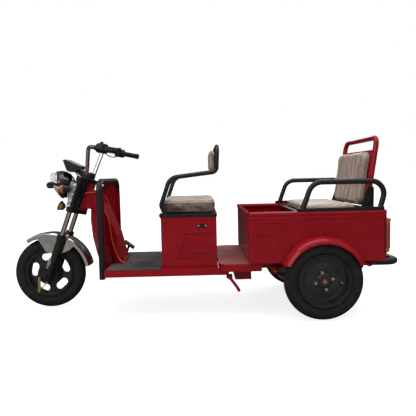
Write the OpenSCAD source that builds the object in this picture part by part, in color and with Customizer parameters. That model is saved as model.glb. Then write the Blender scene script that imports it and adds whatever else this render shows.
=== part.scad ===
// Electric cargo tricycle: steered front wheel, step-through floor, box seat for the rider,
// steel cargo tub with a folding bench, and a leaf-sprung drive axle.
// Millimetres. +X runs to the rear, +Y to the rider's right, +Z up.
// The origin is on the ground below the middle of the vehicle.

/* [Wheels] */
// Distance from the front axle to the rear axle
wheelbase = 1520; // [1400:5:1700]
// Distance between the middles of the rear tyres
track = 730; // [690:5:800]
// Outer radius of every tyre
tyre_r = 205; // [195:1:215]
// Width of the front tyre
front_tyre_w = 74; // [66:1:80]
// Width of a rear tyre
rear_tyre_w = 78; // [70:1:86]
// Radius of the rim flange
rim_r = 139; // [132:1:145]

/* [Steering] */
// Lean of the steering axis from the vertical, in degrees
rake = 20.5; // [15:0.5:25]
// Distance from the steering axis forward to the fork legs
fork_offset = 52; // [45:1:60]
// Distance from the fork legs forward to the front axle
axle_lead = 13; // [8:1:20]
// Half distance between the fork legs
fork_half = 80; // [74:1:90]
// Radius of a fork inner tube
stanchion_r = 14; // [12:0.5:16]
// Radius of a fork outer leg
slider_r = 21; // [19:0.5:24]
// Outer radius of the head tube
head_tube_r = 23; // [21:0.5:27]
// Radius of the steering stem
stem_r = 15; // [13:0.5:17]
// Radius of the handlebar tube
bar_r = 11; // [10:0.5:13]

/* [Front shield and floor] */
// Height of the floor sheet's top
floor_z = 261; // [250:1:270]
// Half width of the floor
floor_half = 280; // [265:1:300]
// Distance of the shield hoop behind the front axle
hoop_x = 360; // [350:1:380]
// Height of the shield hoop
hoop_z = 735; // [700:5:760]
// Half width of the shield hoop, to the middle of the tube
hoop_half = 250; // [240:1:265]
// Radius of the shield hoop tube
hoop_r = 16; // [13:0.5:18]

/* [Rider seat] */
// Front of the seat box ahead of the tub
seat_ahead = 460; // [440:2:490]
// Length of the seat box
seat_len = 300; // [280:5:320]
// Half width of the seat box
seat_half = 235; // [220:1:245]
// Height of the seat box's top
seat_z = 533; // [500:1:560]
// Thickness of the rider's cushion
cushion_t = 80; // [60:1:110]
// Radius of the arm rest tube
arm_r = 12; // [10:0.5:14]

/* [Cargo tub] */
// Front of the tub as a share of the wheelbase
tub_share = 0.75; // [0.73:0.005:0.77]
// Length of the tub
tub_len = 714; // [680:2:740]
// Half width of the tub, outside
tub_half = 345; // [335:1:355]
// Height of the tub floor's underside
tub_z = 296; // [285:1:305]
// Height of the tub's side walls above the floor's underside
tub_h = 266; // [240:1:290]
// Thickness of the tub's sheet
sheet = 4; // [3:0.5:6]
// Width of the fender outside the tyre's middle
fender_out = 53; // [50:1:60]
// Radius of the hand rail tube
rail_r = 14; // [12:0.5:16]

/* [Bench and bumper] */
// Thickness of the bench cushion
bench_t = 38; // [30:1:44]
// Half width of the bench back frame
back_half = 247; // [235:1:255]
// Height of the bench back frame
back_top_z = 953; // [900:1:1000]
// Radius of the bench back tube
back_r = 14; // [12:0.5:15]
// Reach of the bumper behind the tub
bumper_out = 121; // [90:1:150]
// Radius of the bumper tube
bumper_r = 18; // [14:0.5:22]

/* [Hidden] */
$fn = 48;

// Shared gaps
cut = 1;              // overrun of every cut
seat_gap = 0.3;       // between faces that rest near each other
run_gap = 0.05;       // radial, between a shaft and its bore
tub_x = wheelbase * tub_share;
tub_end = tub_x + tub_len;
tub_top = tub_z + tub_h;
seat_x = tub_x - seat_ahead;
seat_end = seat_x + seat_len;
bumper_end = tub_end + bumper_out;
origin_x = (bumper_end - tyre_r) / 2;

// Steering axis: its foot is the point nearest the front axle
fork_reach = fork_offset + axle_lead;
foot_x = fork_reach * cos(rake);
foot_z = tyre_r - fork_reach * sin(rake);
head_low = 414;       // head tube's lower end, along the axis from the foot
head_len = 164;
head_high = head_low + head_len;
yoke_t = 22;
yoke_edge = 9;        // metal round a leg or the stem in a yoke
stem_boss_r = stem_r + yoke_edge;
leg_boss_r = stanchion_r + yoke_edge;

// Fork legs, measured along the leg from the axle's level
slider_top = 252;
slider_low = -24;
collar_h = 30;
collar_wall = 3;
collar_r = slider_r + collar_wall;
leg_sunk = 64;        // length of the inner tube inside the outer leg
leg_over = 3;         // inner tube above the upper yoke
axle_r = 8;
axle_boss_r = 19;
lug_in = 66;          // axle lug, from the middle plane
lug_out = 103;
nut_r = 14;
nut_t = 9;
sleeve_r = 14;

// Wheels
bead_deep = 10;
bead_r = rim_r - bead_deep;
rim_wall = 5;
front_hub_half = 44;
front_hub_r = 34;
window_count = 5;
window_phase = 48;
window_place = 93;    // radius to a window's middle
window_r = 20;        // half of a window's height
window_half = 20;     // half of a window's straight length
rear_y = track / 2;
rear_shaft_r = 12.5;
stud_count = 4;
stud_circle_r = 45;
stud_nut_r = 8;
hand_hole_count = 12;
hand_hole_r = 7;

// Frame rails
pan_t = 3;
rail_w = 30;
rail_h = 32;
rail_top = floor_z - pan_t;
rail_low = rail_top - rail_h;
front_cross_x = hoop_x + hoop_r + seat_gap;
cross_w = 34;
rear_rail_y = 205;
rear_rail_h = 40;
plat_t = 4;
plat_drop = 6;
plat_z = tub_z - plat_drop;   // top of the rear foot platform
rear_rail_top = plat_z - plat_t;
rear_rail_low = rear_rail_top - rear_rail_h;
rail_step = 20;        // step up to the rear rails, behind the seat box
rear_rail_x = seat_end + rail_step;
rail_short = 14;
rear_rail_end = tub_end - rail_short;
neck_half = 25;
neck_x = 335;
neck_top_z = 655;
neck_low_z = 560;
down_tube_r = 24;
channel_ahead = 63;   // cross channel under the platform, ahead of the tub
channel_x = tub_x - channel_ahead;
channel_len = 88;
channel_low = 185;
eye_drop = 16;        // spring eye's middle below the rear rail
eye_z = rear_rail_low - eye_drop;
spring_half = 227;    // half distance between a spring's eyes
spring_w = 46;
eye_r = 14;
eye_pin_r = 7;
ear_t = 5;
ear_gap = 1;

module place() translate([-origin_x, 0, 0]) children();
module steer() place() translate([foot_x, 0, foot_z]) rotate([0, rake, 0]) children();
module both() {
    children();
    mirror([0, 1, 0]) children();
}
// A round rod from p to q
module rod(p, q, r) {
    d = q - p;
    translate(p) rotate([0, acos(d.z / norm(d)), atan2(d.y, d.x)]) cylinder(r = r, h = norm(d));
}
// A round bar along Y at x and z, from y0 to y1
module bar_y(x, z, r, y0, y1) translate([x, y1, z]) rotate([90, 0, 0]) cylinder(r = r, h = y1 - y0);
// A side outline of [x, z] points, given a width about y
module plate(points, y, w) translate([0, y + w / 2, 0]) rotate([90, 0, 0]) linear_extrude(w) polygon(points);
// A box from its low corner to its high corner
module block(a, b) translate(a) cube(b - a);
// A ring or disc turned about Y at x, y and z, from [radius, y] points
module turned(x, y, z, points) translate([x, y, z]) rotate([-90, 0, 0]) rotate_extrude() polygon(points);
// A tube of radius r along points, bent at every inner point
function unit(v) = v / norm(v);
weld_half = 1;
weld_raise = 0.1;
module bent_tube(p, r, bend) {
    n = len(p);
    u = [for (i = [0:n - 2]) unit(p[i + 1] - p[i])];
    back = [for (i = [0:n - 1]) i == 0 || i == n - 1 ? 0
        : bend[i - 1] * tan(acos(u[i - 1] * u[i]) / 2)];
    for (i = [0:n - 2])
        rod(p[i] + u[i] * back[i], p[i + 1] - u[i] * back[i + 1], r);
    for (i = [1:n - 2]) {
        for (w = [[p[i] - u[i - 1] * back[i], u[i - 1]], [p[i] + u[i] * back[i], u[i]]])
            rod(w[0] - w[1] * weld_half, w[0] + w[1] * weld_half, r + weld_raise);
        turn = acos(u[i - 1] * u[i]);
        centre = p[i] + unit(u[i] - u[i - 1]) * bend[i - 1] / cos(turn / 2);
        ex = unit(p[i] - u[i - 1] * back[i] - centre);
        ey = u[i - 1];
        ez = cross(ex, ey);
        multmatrix([[ex.x, ey.x, ez.x, centre.x], [ex.y, ey.y, ez.y, centre.y], [ex.z, ey.z, ez.z, centre.z]])
            rotate_extrude(angle = turn) translate([bend[i - 1], 0]) circle(r);
    }
}
function flip_y(p) = [p.x, -p.y, p.z];
// Points of one side, then the same points mirrored back down the other side
function mirrored(p) = concat(p, [for (i = [len(p) - 1:-1:0]) flip_y(p[i])]);
function axis_x(s) = foot_x + s * sin(rake);
function axis_z(s) = foot_z + s * cos(rake);

// Welded frame: head tube, neck, down tube, floor rails, rear rails and spring hangers
rail_in = floor_half - rail_w;
mid_cross = [seat_x, seat_x + seat_len - cross_w];
cross_ahead = 286;
cross_behind = 120;
cross_in = 54;
rear_cross = [wheelbase - cross_ahead, wheelbase + cross_behind, tub_end - cross_in];
bearer_h = tub_z - rear_rail_top;
hanger_half = 30;
ear_y = spring_w / 2 + ear_gap;
module frame() color("#a01420") {
    difference() {
        union() {
            steer() translate([0, 0, head_low]) cylinder(r = head_tube_r, h = head_len);
            place() plate([[axis_x(head_low + collar_h / 2), axis_z(head_low + collar_h / 2)],
                [axis_x(head_high - collar_h), axis_z(head_high - collar_h)],
                [neck_x, neck_top_z], [neck_x, neck_low_z]], 0, 2 * neck_half);
            place() rod([neck_x - down_tube_r, 0, neck_low_z + down_tube_r],
                [front_cross_x + cross_w / 2, 0, rail_low + rail_h / 2], down_tube_r);
        }
        steer() translate([0, 0, head_low - cut])
            cylinder(r = stem_r + run_gap, h = head_len + 2 * cut);
        place() block([front_cross_x, -neck_half - cut, 0],
            [front_cross_x + 2 * cross_w, neck_half + cut, rail_low]);
    }
    place() {
        both() block([front_cross_x, rail_in, rail_low], [rear_rail_x + rear_rail_h, floor_half, rail_top]);
        for (x = concat([front_cross_x], mid_cross))
            block([x, -rail_in, rail_low], [x + cross_w, rail_in, rail_top]);
        block([rear_rail_x, -rail_in, rail_low], [rear_rail_x + rear_rail_h, rail_in, rear_rail_top]);
        both() block([rear_rail_x, rear_rail_y - rail_w / 2, rear_rail_low],
            [rear_rail_end, rear_rail_y + rail_w / 2, rear_rail_top]);
        for (x = rear_cross)
            block([x, -rear_rail_y, rear_rail_low], [x + cross_w, rear_rail_y, rear_rail_top]);
        for (x = [rear_cross[0], rear_cross[2]])
            block([x, -rear_rail_y - rail_w / 2, rear_rail_top],
                [x + cross_w, rear_rail_y + rail_w / 2, rear_rail_top + bearer_h]);
        block([channel_x, -rear_rail_y - rail_w / 2, channel_low],
            [channel_x + channel_len, rear_rail_y + rail_w / 2, rear_rail_low]);
        both() for (x = [wheelbase - spring_half, wheelbase + spring_half]) {
            for (s = [-1, 1])
                plate([[x - hanger_half, rear_rail_low + cut], [x + hanger_half, rear_rail_low + cut],
                    [x + eye_r, eye_z - eye_r], [x - eye_r, eye_z - eye_r]],
                    rear_rail_y + s * (ear_y + ear_t / 2), ear_t);
            bar_y(x, eye_z, eye_pin_r, rear_rail_y - ear_y - 2 * ear_t, rear_rail_y + ear_y + 2 * ear_t);
            block([x - hanger_half, rear_rail_y - ear_y - ear_t, rear_rail_low],
                [x + hanger_half, rear_rail_y + ear_y + ear_t, rear_rail_low + 2 * ear_t]);
        }
    }
}

// Bent tube hoop at the edge of the leg shield
hoop_bend = 55;
hoop_foot = 14;
hoop_foot_z = rail_low - hoop_foot;
module shield_hoop() color("#1b1b1b") place()
    bent_tube(mirrored([[hoop_x, -hoop_half, hoop_foot_z], [hoop_x, -hoop_half, hoop_z]]),
        hoop_r, [hoop_bend, hoop_bend]);

// Pressed leg shield, bowed forwards between the hoop's legs
shield_t = 3;
shield_half = hoop_half - hoop_r - seat_gap;
shield_drop = 12;
shield_low = rail_low - shield_drop;
shield_high = hoop_z - hoop_r - seat_gap;
shield_ahead = 8;
shield_edge_x = hoop_x - shield_ahead;
shield_bow = 96;
shield_flange = 28;
// Columns: share of the height, share of the bow, share of the width
shield_shares = [[0, 0.06, 1], [0.1, 0.36, 1], [0.25, 0.69, 1], [0.4, 0.9, 1], [0.6, 1, 1], [0.76, 0.94, 1], [0.9, 0.7, 1], [0.93, 0.6, 0.985], [0.962, 0.49, 0.955], [0.985, 0.41, 0.9], [1, 0.35, 0.82]];
shield_steps = 14;
notch_half = 56;
notch_low_z = 545;
function shield_spot(k, c, back) = let (t = 2 * c / shield_steps - 1, s = shield_shares[k])
    [shield_edge_x - shield_bow * s[1] * (1 - t * t) + back, t * s[2] * shield_half,
        shield_low + s[0] * (shield_high - shield_low)];
// A quad as two triangles
function tri(q) = [[q[0], q[1], q[2]], [q[0], q[2], q[3]]];
module leg_shield() color("#a01420") place() {
    rows = len(shield_shares);
    cols = shield_steps + 1;
    points = concat([for (k = [0:rows - 1], c = [0:cols - 1]) shield_spot(k, c, 0)],
        [for (k = [0:rows - 1], c = [0:cols - 1]) shield_spot(k, c, shield_t)]);
    m = rows * cols;
    skin = [for (k = [0:rows - 2], c = [0:cols - 2]) let (a = k * cols + c)
        [a, a + cols, a + cols + 1, a + 1]];
    side = concat([for (c = [0:cols - 2]) [c, c + 1]],
        [for (k = [0:rows - 2]) [(k + 1) * cols - 1, (k + 2) * cols - 1]],
        [for (c = [cols - 1:-1:1]) [(rows - 1) * cols + c, (rows - 1) * cols + c - 1]],
        [for (k = [rows - 1:-1:1]) [k * cols, (k - 1) * cols]]);
    faces = concat([for (q = skin) each tri([for (i = [3:-1:0]) q[i]])],
        [for (q = skin) each tri([for (i = [0:3]) q[i] + m])],
        [for (e = side) each tri([e[0], e[1], e[1] + m, e[0] + m])]);
    both() block([shield_edge_x, shield_half - shield_t, floor_z + mat_t], [shield_edge_x + shield_flange, shield_half, hoop_z - hoop_bend - hoop_r]);
    difference() {
        polyhedron(points, faces);
        block([0, -notch_half, notch_low_z], [hoop_x, notch_half, hoop_z]);
    }
}

// Cover over the down tube, open at the front
cover_half = 85;
cover_t = 3;
cover_line = [[293, 640], [322, 656], [414, 425], [330, 425], [281, 596]];
cover_foot = [402, 453];
cover_open = 50;
cover_out = [cover_line[0], cover_line[1], cover_line[2], [cover_foot[1], floor_z + seat_gap], [cover_foot[0], floor_z + seat_gap], cover_line[3], cover_line[4]];
cover_in = [cover_line[0] - [cover_open, cover_t], cover_line[1] - [cover_t + cut, 3 * cover_t], cover_line[2] - [cover_t, 0], [cover_foot[1] - cover_t, floor_z - cut],
    [cover_foot[0] - cover_open, floor_z - cut], cover_line[3] - [cover_open, 0], cover_line[4] - [cover_open, 0]];
module spine_cover() color("#a01420") place() difference() {
    plate(cover_out, 0, 2 * cover_half);
    plate(cover_in, 0, 2 * (cover_half - cover_t));
    block([0, -neck_half - 2 * cover_t, neck_low_z - 2 * down_tube_r], [neck_x + 2 * cover_t, neck_half + 2 * cover_t, hoop_z]);
}

// Floor sheet on the rails, and its ribbed rubber mat
pan_short = 16;
pan_end = rear_rail_x - pan_short;
pan_slot = 46;         // slot round the down tube, under its cover
module floor_pan() color("#a01420") place() difference() {
    block([front_cross_x, -floor_half, rail_top], [pan_end, floor_half, floor_z]);
    block([front_cross_x - cut, -down_tube_r - mat_gap, rail_top - cut], [front_cross_x + pan_slot, down_tube_r + mat_gap, floor_z + cut]);
}
mat_t = 5;
mat_back = 14;
mat_x = front_cross_x + mat_back;
mat_short = 4;
mat_end = seat_x - mat_short;
mat_in = 3;
mat_half = floor_half - mat_in;
rib_h = 2;
rib_w = 7;
rib_count = 11;
rib_pitch = (mat_half - cover_half) / (rib_count + 2);
mat_gap = 3;
module floor_mat() color("#141414") place() difference() {
    union() {
        block([mat_x, -mat_half, floor_z], [mat_end, mat_half, floor_z + mat_t]);
        both() for (i = [1:rib_count])
            block([mat_x + 2 * rib_w, cover_half + (i + 1) * rib_pitch - rib_w / 2, floor_z + mat_t],
                [mat_end - 2 * rib_w, cover_half + (i + 1) * rib_pitch + rib_w / 2, floor_z + mat_t + rib_h]);
    }
    block([0, -cover_half - mat_gap, floor_z - cut], [cover_out[3][0] + mat_gap, cover_half + mat_gap, floor_z + mat_t + rib_h + cut]);
    block([pedal_x - pedal_base, pedal_y - pedal_half - mat_gap, floor_z - cut],
        [pedal_x + pedal_base, pedal_y + pedal_half + mat_gap, floor_z + mat_t + rib_h + cut]);
}

// Foot brake pedal on the floor's right side
pedal_x = 418;
pedal_y = 160;
pedal_half = 30;
pedal_base = 21;
pedal_pad_t = 11;
pedal_arm_r = 7;
pedal_low = [468, 307];
pedal_high = [410, 350];
module brake_pedal() color("#1b1b1b") place() {
    block([pedal_x - pedal_base + mat_gap, pedal_y - pedal_half, floor_z], [pedal_x + pedal_base - mat_gap, pedal_y + pedal_half, floor_z + 2 * mat_t]);
    rod([pedal_x, pedal_y, floor_z + mat_t], [(pedal_low[0] + pedal_high[0]) / 2, pedal_y, (pedal_low[1] + pedal_high[1]) / 2], pedal_arm_r);
    plate([pedal_low, pedal_high, pedal_high + [pedal_pad_t / 2, pedal_pad_t], pedal_low + [pedal_pad_t / 2, pedal_pad_t]], pedal_y, 2 * pedal_half);
}

// Brake cable from the head tube down the cover's left side to the floor
cable_r = 3.5;
cable_sides = 8;
cable_route = [[226, -29, 668], [246, -29, 672], [266, -33, 673], [284, -42, 672], [298, -52, 670], [309, -68, 666], [318, -86, 661], [326, -92, 646],
    [333, -93, 626], [340, -93, 600], [355, -93, 560], [371, -93, 515], [379, -93, 465], [384, -93, 414], [395, -93, 368], [410, -94, 322], [424, -97, 292], [438, -102, 277], [458, -108, 272.5]];
module brake_cable() color("#d8671c") place() {
    n = len(cable_route);
    k = cable_sides;
    points = [for (i = [0:n - 1]) let (d = unit(cable_route[min(i + 1, n - 1)] - cable_route[max(i - 1, 0)]),
        a = unit(cross(d, [0, 1, 0])), b = cross(d, a)) for (j = [0:k - 1])
        cable_route[i] + cable_r * (a * cos(j * 360 / k) + b * sin(j * 360 / k))];
    faces = concat([[for (j = [0:k - 1]) j]], [[for (j = [k - 1:-1:0]) (n - 1) * k + j]],
        [for (i = [0:n - 2], j = [0:k - 1]) let (a = i * k + j, b = i * k + (j + 1) % k) each tri([a, a + k, b + k, b])]);
    polyhedron(points, faces);
}

// Rider's seat box: open-topped steel box with pressed side panels and a lock plate
box_t = 3;
box_low = floor_z;
panel_raise = 5;
// Panel outline behind and above the box's low front corner
panel_line = [[127, 195], [272, 195], [272, 188], [131, 188], [99, 63], [157, 63], [157, 87], [272, 87], [272, 80],
    [164, 80], [164, 56], [88, 56]];
lock_spot = [222, 228];
lock_at = [seat_x, box_low] + lock_spot;
lock_half = 11;
lock_len = 22;
lid_hinge_spot = [10, 9];
lid_hinge_x = seat_x - lid_hinge_spot[0];
lid_hinge_z = seat_z + lid_hinge_spot[1];
lid_barrel_r = 7;
lid_pin_r = 3;
lid_barrel_y = 120;
lid_barrel_half = 25;
lid_ear_t = 7;
module seat_box() color("#a01420") place() {
    difference() {
        block([seat_x, -seat_half, box_low], [seat_end, seat_half, seat_z]);
        block([seat_x + box_t, -seat_half + box_t, box_low - cut], [seat_end - box_t, seat_half - box_t, seat_z + cut]);
    }
    both() translate([seat_x, 0, box_low]) plate(panel_line, seat_half + (panel_raise - box_t / 2) / 2, panel_raise + box_t / 2);
    for (x = [lock_at[0] - lock_len / 2, lock_at[0] + lock_len / 2])
        bar_y(x, lock_at[1], lock_half, -seat_half - panel_raise, -seat_half);
    block([lock_at[0] - lock_len / 2, -seat_half - panel_raise, lock_at[1] - lock_half], [lock_at[0] + lock_len / 2, -seat_half, lock_at[1] + lock_half]);
    both() for (s = [-1, 1]) {
        y = lid_barrel_y + s * (lid_barrel_half + ear_gap / 2 + lid_ear_t / 2);
        plate([[seat_x + box_t / 2, lid_hinge_z - 5 * lid_barrel_r], [seat_x + box_t / 2, seat_z - lid_barrel_r], [lid_hinge_x + 0.7 * lid_barrel_r, seat_z - lid_barrel_r / 4],
            [lid_hinge_x + lid_barrel_r / 2, lid_hinge_z + lid_barrel_r], [lid_hinge_x - lid_barrel_r, lid_hinge_z + lid_barrel_r / 2], [lid_hinge_x - lid_barrel_r, lid_hinge_z - lid_barrel_r]], y, lid_ear_t);
    }
    both() bar_y(lid_hinge_x, lid_hinge_z, lid_pin_r, lid_barrel_y - lid_barrel_half - lid_ear_t, lid_barrel_y + lid_barrel_half + lid_ear_t);
}
battery_h = 190;
battery_in = 55;
battery_half = seat_half - battery_in;
battery_inset = 22;
module battery_pack() color("#26292c") place()
    block([seat_x + battery_inset, -battery_half, floor_z], [seat_end - battery_inset, battery_half, floor_z + battery_h]);

// Foot platform ahead of the tub, with a turned-down skirt
plat_gap = 5;
plat_x = seat_end + plat_gap;
plat_in = 25;
plat_half = tub_half - plat_in;
plat_skirt = 40;
plat_round = 60;
plat_under = 70;
plat_end = tub_x + plat_under;
module plat_outline(inset) translate([plat_x + inset, -plat_half + inset]) union() {
    translate([plat_round - inset, 0]) square([plat_end - plat_x - plat_round, 2 * (plat_half - inset)]);
    translate([0, plat_round - inset]) square([plat_end - plat_x - inset, 2 * (plat_half - plat_round)]);
    for (y = [plat_round - inset, 2 * plat_half - plat_round - inset]) translate([plat_round - inset, y]) circle(plat_round - inset);
}
module rear_platform() color("#6f2b26") place() difference() {
    translate([0, 0, plat_z - plat_skirt]) linear_extrude(plat_skirt) plat_outline(0);
    translate([0, 0, plat_z - plat_skirt - cut]) linear_extrude(plat_skirt - plat_t + cut) plat_outline(plat_t);
    block([plat_end - plat_t - cut, -plat_half + plat_t, 0], [plat_end + cut, plat_half - plat_t, plat_z - plat_t]);
    // opening over the frame's step
    block([plat_x - cut, -floor_half - mat_gap, plat_z - plat_skirt - cut], [plat_x + 3 * plat_t + cut, floor_half + mat_gap, rail_top + mat_gap]);
}

// Cargo tub: floor with pressed ribs, sides with wheel fenders, front wall
well_reach = 20;
well_far = 53;
well_edge = 33;
well_in = min(rear_y - well_far, tub_half - well_edge);   // inner wall of a wheel fender
well_clear = 23;
well_r = tyre_r + well_clear;
well_t = 4;
well_low = plat_z;
fender_y = max(rear_y, tub_half + well_reach) + fender_out;
floor_t = 4;
floor_short = 24;
floor_end = tub_end - floor_short;
floor_rib_h = 6;
floor_rib_w = 30;
floor_rib_count = 5;
floor_rib_pitch = 105;
gate_hinge_spot = [4, 1];
gate_hinge_x = tub_end + gate_hinge_spot[0];
gate_hinge_z = tub_z + gate_hinge_spot[1];
gate_barrel_r = 8;
gate_pin_r = 4;
gate_barrel_y = 150;
gate_barrel_half = 30;
gate_ear_t = 7;
module tub_floor() color("#a01420") place() {
    difference() {
        block([tub_x + 2 * corner_r + seat_gap, -tub_half + sheet + seat_gap, tub_z], [floor_end, tub_half - sheet - seat_gap, tub_z + floor_t]);
        both() block([wheelbase - well_r - mat_gap, well_in - seat_gap, tub_z - cut], [wheelbase + well_r + mat_gap, tub_half, tub_z + floor_t + cut]);
    }
    for (i = [0:floor_rib_count - 1])
        block([tub_x + 4 * floor_rib_w / 3, (i - (floor_rib_count - 1) / 2) * floor_rib_pitch - floor_rib_w / 2, tub_z + floor_t],
            [floor_end - floor_rib_w, (i - (floor_rib_count - 1) / 2) * floor_rib_pitch + floor_rib_w / 2, tub_z + floor_t + floor_rib_h]);
    both() {
        for (s = [-1, 1]) {
            y = gate_barrel_y + s * (gate_barrel_half + ear_gap / 2 + gate_ear_t / 2);
            block([floor_end - floor_rib_w, y - gate_ear_t / 2, tub_z], [gate_hinge_x + gate_barrel_r / 2, y + gate_ear_t / 2, gate_hinge_z + gate_barrel_r / 2]);
            block([tub_end - 2 * gate_barrel_r, y - gate_ear_t / 2, gate_hinge_z - gate_barrel_r], [gate_hinge_x + gate_barrel_r / 2, y + gate_ear_t / 2, gate_hinge_z]);
        }
        bar_y(gate_hinge_x, gate_hinge_z, gate_pin_r, gate_barrel_y - gate_barrel_half - gate_ear_t, gate_barrel_y + gate_barrel_half + gate_ear_t);
    }
}
rim_roll_r = 13;
roll_in = 10;
roll_y = tub_half - roll_in;
ledge_back = 434;
ledge_x = tub_end - ledge_back;
ledge_len = 314;
ledge_w = 49;
ledge_in = tub_half - ledge_w;
ledge_t = 8;
ledge_drop = 22;
ledge_z = tub_top - ledge_drop;
lip_out = 50;          // width and height of a fender's rounded lip
lip_drop = 34;
// Columns: share of the drop, share of the width
lip_shares = [[0.05, 0.32], [0.2, 0.62], [0.45, 0.86], [0.75, 0.98], [1, 1]];
corner_r = 13;
post_w = 16;
post_deep = 20;
post_in = tub_half - post_deep;
press_raise = 3;
// Pressing behind and above the side's low front corner
press_line = [[40, 217], [186, 217], [181, 209], [48, 209], [48, 158], [152, 158], [144, 150], [40, 150]];
module tub_side() {
    difference() {
        union() {
            block([tub_x + corner_r, tub_half - sheet, tub_z], [tub_end, tub_half, tub_top - rim_roll_r]);
            translate([tub_x + corner_r, tub_half - corner_r, tub_z]) cylinder(r = corner_r, h = tub_h - rim_roll_r);
            block([tub_end - post_w, post_in, tub_z], [tub_end, tub_half, tub_top - rim_roll_r]);
            translate([tub_x + corner_r / 2, roll_y, tub_top - rim_roll_r]) rotate([0, 90, 0]) cylinder(r = rim_roll_r, h = tub_len - corner_r / 2);
            block([ledge_x, ledge_in, ledge_z - ledge_t], [ledge_x + ledge_len, tub_half - sheet, ledge_z]);
            translate([tub_x, 0, tub_z]) plate(press_line, tub_half + (press_raise - sheet / 2) / 2, press_raise + sheet / 2);
        }
        bar_y(wheelbase, tyre_r, well_r - well_t / 2, tub_half - 2 * sheet, tub_half + cut);
        block([wheelbase - well_r + well_t / 2, tub_half - 2 * sheet, 0], [wheelbase + well_r - well_t / 2, tub_half + cut, tyre_r + 2 * sheet]);
    }
    difference() {
        turned(wheelbase, 0, tyre_r, concat([[0, well_in], [well_r, well_in], [well_r, fender_y - lip_out]],
            [for (k = lip_shares) [well_r - k[0] * lip_drop, fender_y - lip_out + k[1] * lip_out]],
            [for (i = [len(lip_shares) - 1:-1:0]) let (k = lip_shares[i]) [well_r - well_t - k[0] * (lip_drop - well_t), fender_y - lip_out + k[1] * (lip_out - well_t)]],
            [[well_r - well_t, fender_y - lip_out], [well_r - well_t, well_in + well_t], [0, well_in + well_t]]));
        block([wheelbase - 2 * well_r, well_in - cut, tyre_r - 2 * well_r], [wheelbase + 2 * well_r, fender_y + cut, well_low]);
    }
}
module tub_side_left() color("#a01420") place() mirror([0, 1, 0]) tub_side();
module tub_side_right() color("#a01420") place() tub_side();
front_roll_r = 11;
front_half = tub_half - 2 * corner_r - seat_gap;
module tub_front() color("#a01420") place() {
    block([tub_x, -front_half, tub_z], [tub_x + sheet, front_half, tub_top - 2 * rim_roll_r - seat_gap]);
    block([tub_x, -front_half, tub_z], [tub_x + 2 * corner_r, front_half, tub_z + floor_t]);
    block([tub_x, -front_half, tub_top - 2 * rim_roll_r - cut], [tub_x + sheet, front_half, tub_top - front_roll_r]);
    bar_y(tub_x + sheet, tub_top - front_roll_r, front_roll_r, -front_half, front_half);
}

// Hand rails on the tub's sides, with the bench back's hinge brackets
rail_bar_h = 15;
rail_bar_half = 11;
rail_bar_z = tub_top + seat_gap;
rail_up = 148;
rail_top_z = tub_top + rail_up;
back_pin_spot = [-54, 103];
back_pin = [tub_end, tub_top] + back_pin_spot;
back_pin_r = 8;
ear_side_gap = 2.5;
ear_in = back_half + back_r + ear_side_gap;
bracket_t = 6;
bracket_back = 108;
bracket_x = tub_end - bracket_back;
bracket_len = 70;
back_eye_r = 17;
rail_spots = [-432, -382, 8, -30];
rail_line = [for (i = [0:3]) [tub_end + rail_spots[i], i == 0 || i == 3 ? rail_bar_z + rail_bar_h / 2 : rail_top_z]];
rail_bends = [72, 66];
module hand_rails() color("#1b1b1b") place() both() {
    bent_tube([for (p = rail_line) [p[0], roll_y, p[1]]], rail_r, rail_bends);
    block([rail_line[0][0] - 2 * rail_r, roll_y - rail_bar_half, rail_bar_z], [rail_line[3][0] + 1.3 * rail_r, roll_y + rail_bar_half, rail_bar_z + rail_bar_h]);
    block([bracket_x, ear_in, rail_bar_z], [bracket_x + bracket_len, roll_y, rail_bar_z + bracket_t]);
    plate([[bracket_x, rail_bar_z], [bracket_x + bracket_len, rail_bar_z], [back_pin[0] + back_eye_r, back_pin[1] - back_eye_r], [back_pin[0] + back_eye_r, back_pin[1] + back_eye_r / 2],
        [back_pin[0] + back_eye_r / 2, back_pin[1] + back_eye_r], [back_pin[0] - back_eye_r / 2, back_pin[1] + back_eye_r], [back_pin[0] - back_eye_r, back_pin[1] + back_eye_r / 2]], ear_in + bracket_t / 2, bracket_t);
    bar_y(back_pin[0], back_pin[1], back_pin_r, back_half - back_r - mat_gap, ear_in + 2 * bracket_t);
}

// Bench pan on the tub's ledges, and its cushion
bench_pan_t = 8;
bench_in = 60;
bench_half = tub_half - bench_in;
bench_set = 26;        // cushion's front edge behind the pan's
bench_pan_half = roll_y - rim_roll_r - mat_gap;
bench_round = 40;
module rounded(size, r) union() {
    translate([r, 0]) square([size[0] - 2 * r, size[1]]);
    translate([0, r]) square([size[0], size[1] - 2 * r]);
    for (x = [r, size[0] - r], y = [r, size[1] - r]) translate([x, y]) circle(r);
}
module bench_pan() color("#1b1b1b") place()
    block([ledge_x, -bench_pan_half, ledge_z], [ledge_x + ledge_len, bench_pan_half, ledge_z + bench_pan_t]);
module bench_cushion() color("#7a6f68") place() translate([ledge_x + bench_set, -bench_half, ledge_z + bench_pan_t + seat_gap])
    linear_extrude(bench_t) rounded([ledge_len - bench_set, 2 * bench_half], bench_round);

// Tail lamps on the corner posts
lamp_ups = [42, 224];
lamp_low = tub_z + lamp_ups[0];
lamp_high = tub_z + lamp_ups[1];
lamp_base_t = 4;
lamp_wing = 9;
lamp_w = 21;
lamp_in = tub_half - lamp_w;
lens_t = 17;
lamp_y = tub_half + seat_gap + lamp_base_t;
module tail_lamps() color("#161616") place() both() {
    block([tub_end + seat_gap, lamp_in, lamp_low], [tub_end + seat_gap + lamp_base_t, lamp_y, lamp_high]);
    block([tub_end - lamp_wing, tub_half + seat_gap, lamp_low], [tub_end + seat_gap + lamp_base_t, lamp_y, lamp_high]);
}
lens_x = tub_end + 2 * seat_gap + lamp_base_t;
module tail_lenses() color("#b3261a") place() both()
    block([lens_x, lamp_in, lamp_low + lamp_base_t], [lens_x + lens_t, lamp_y, lamp_high - lamp_base_t]);

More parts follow.
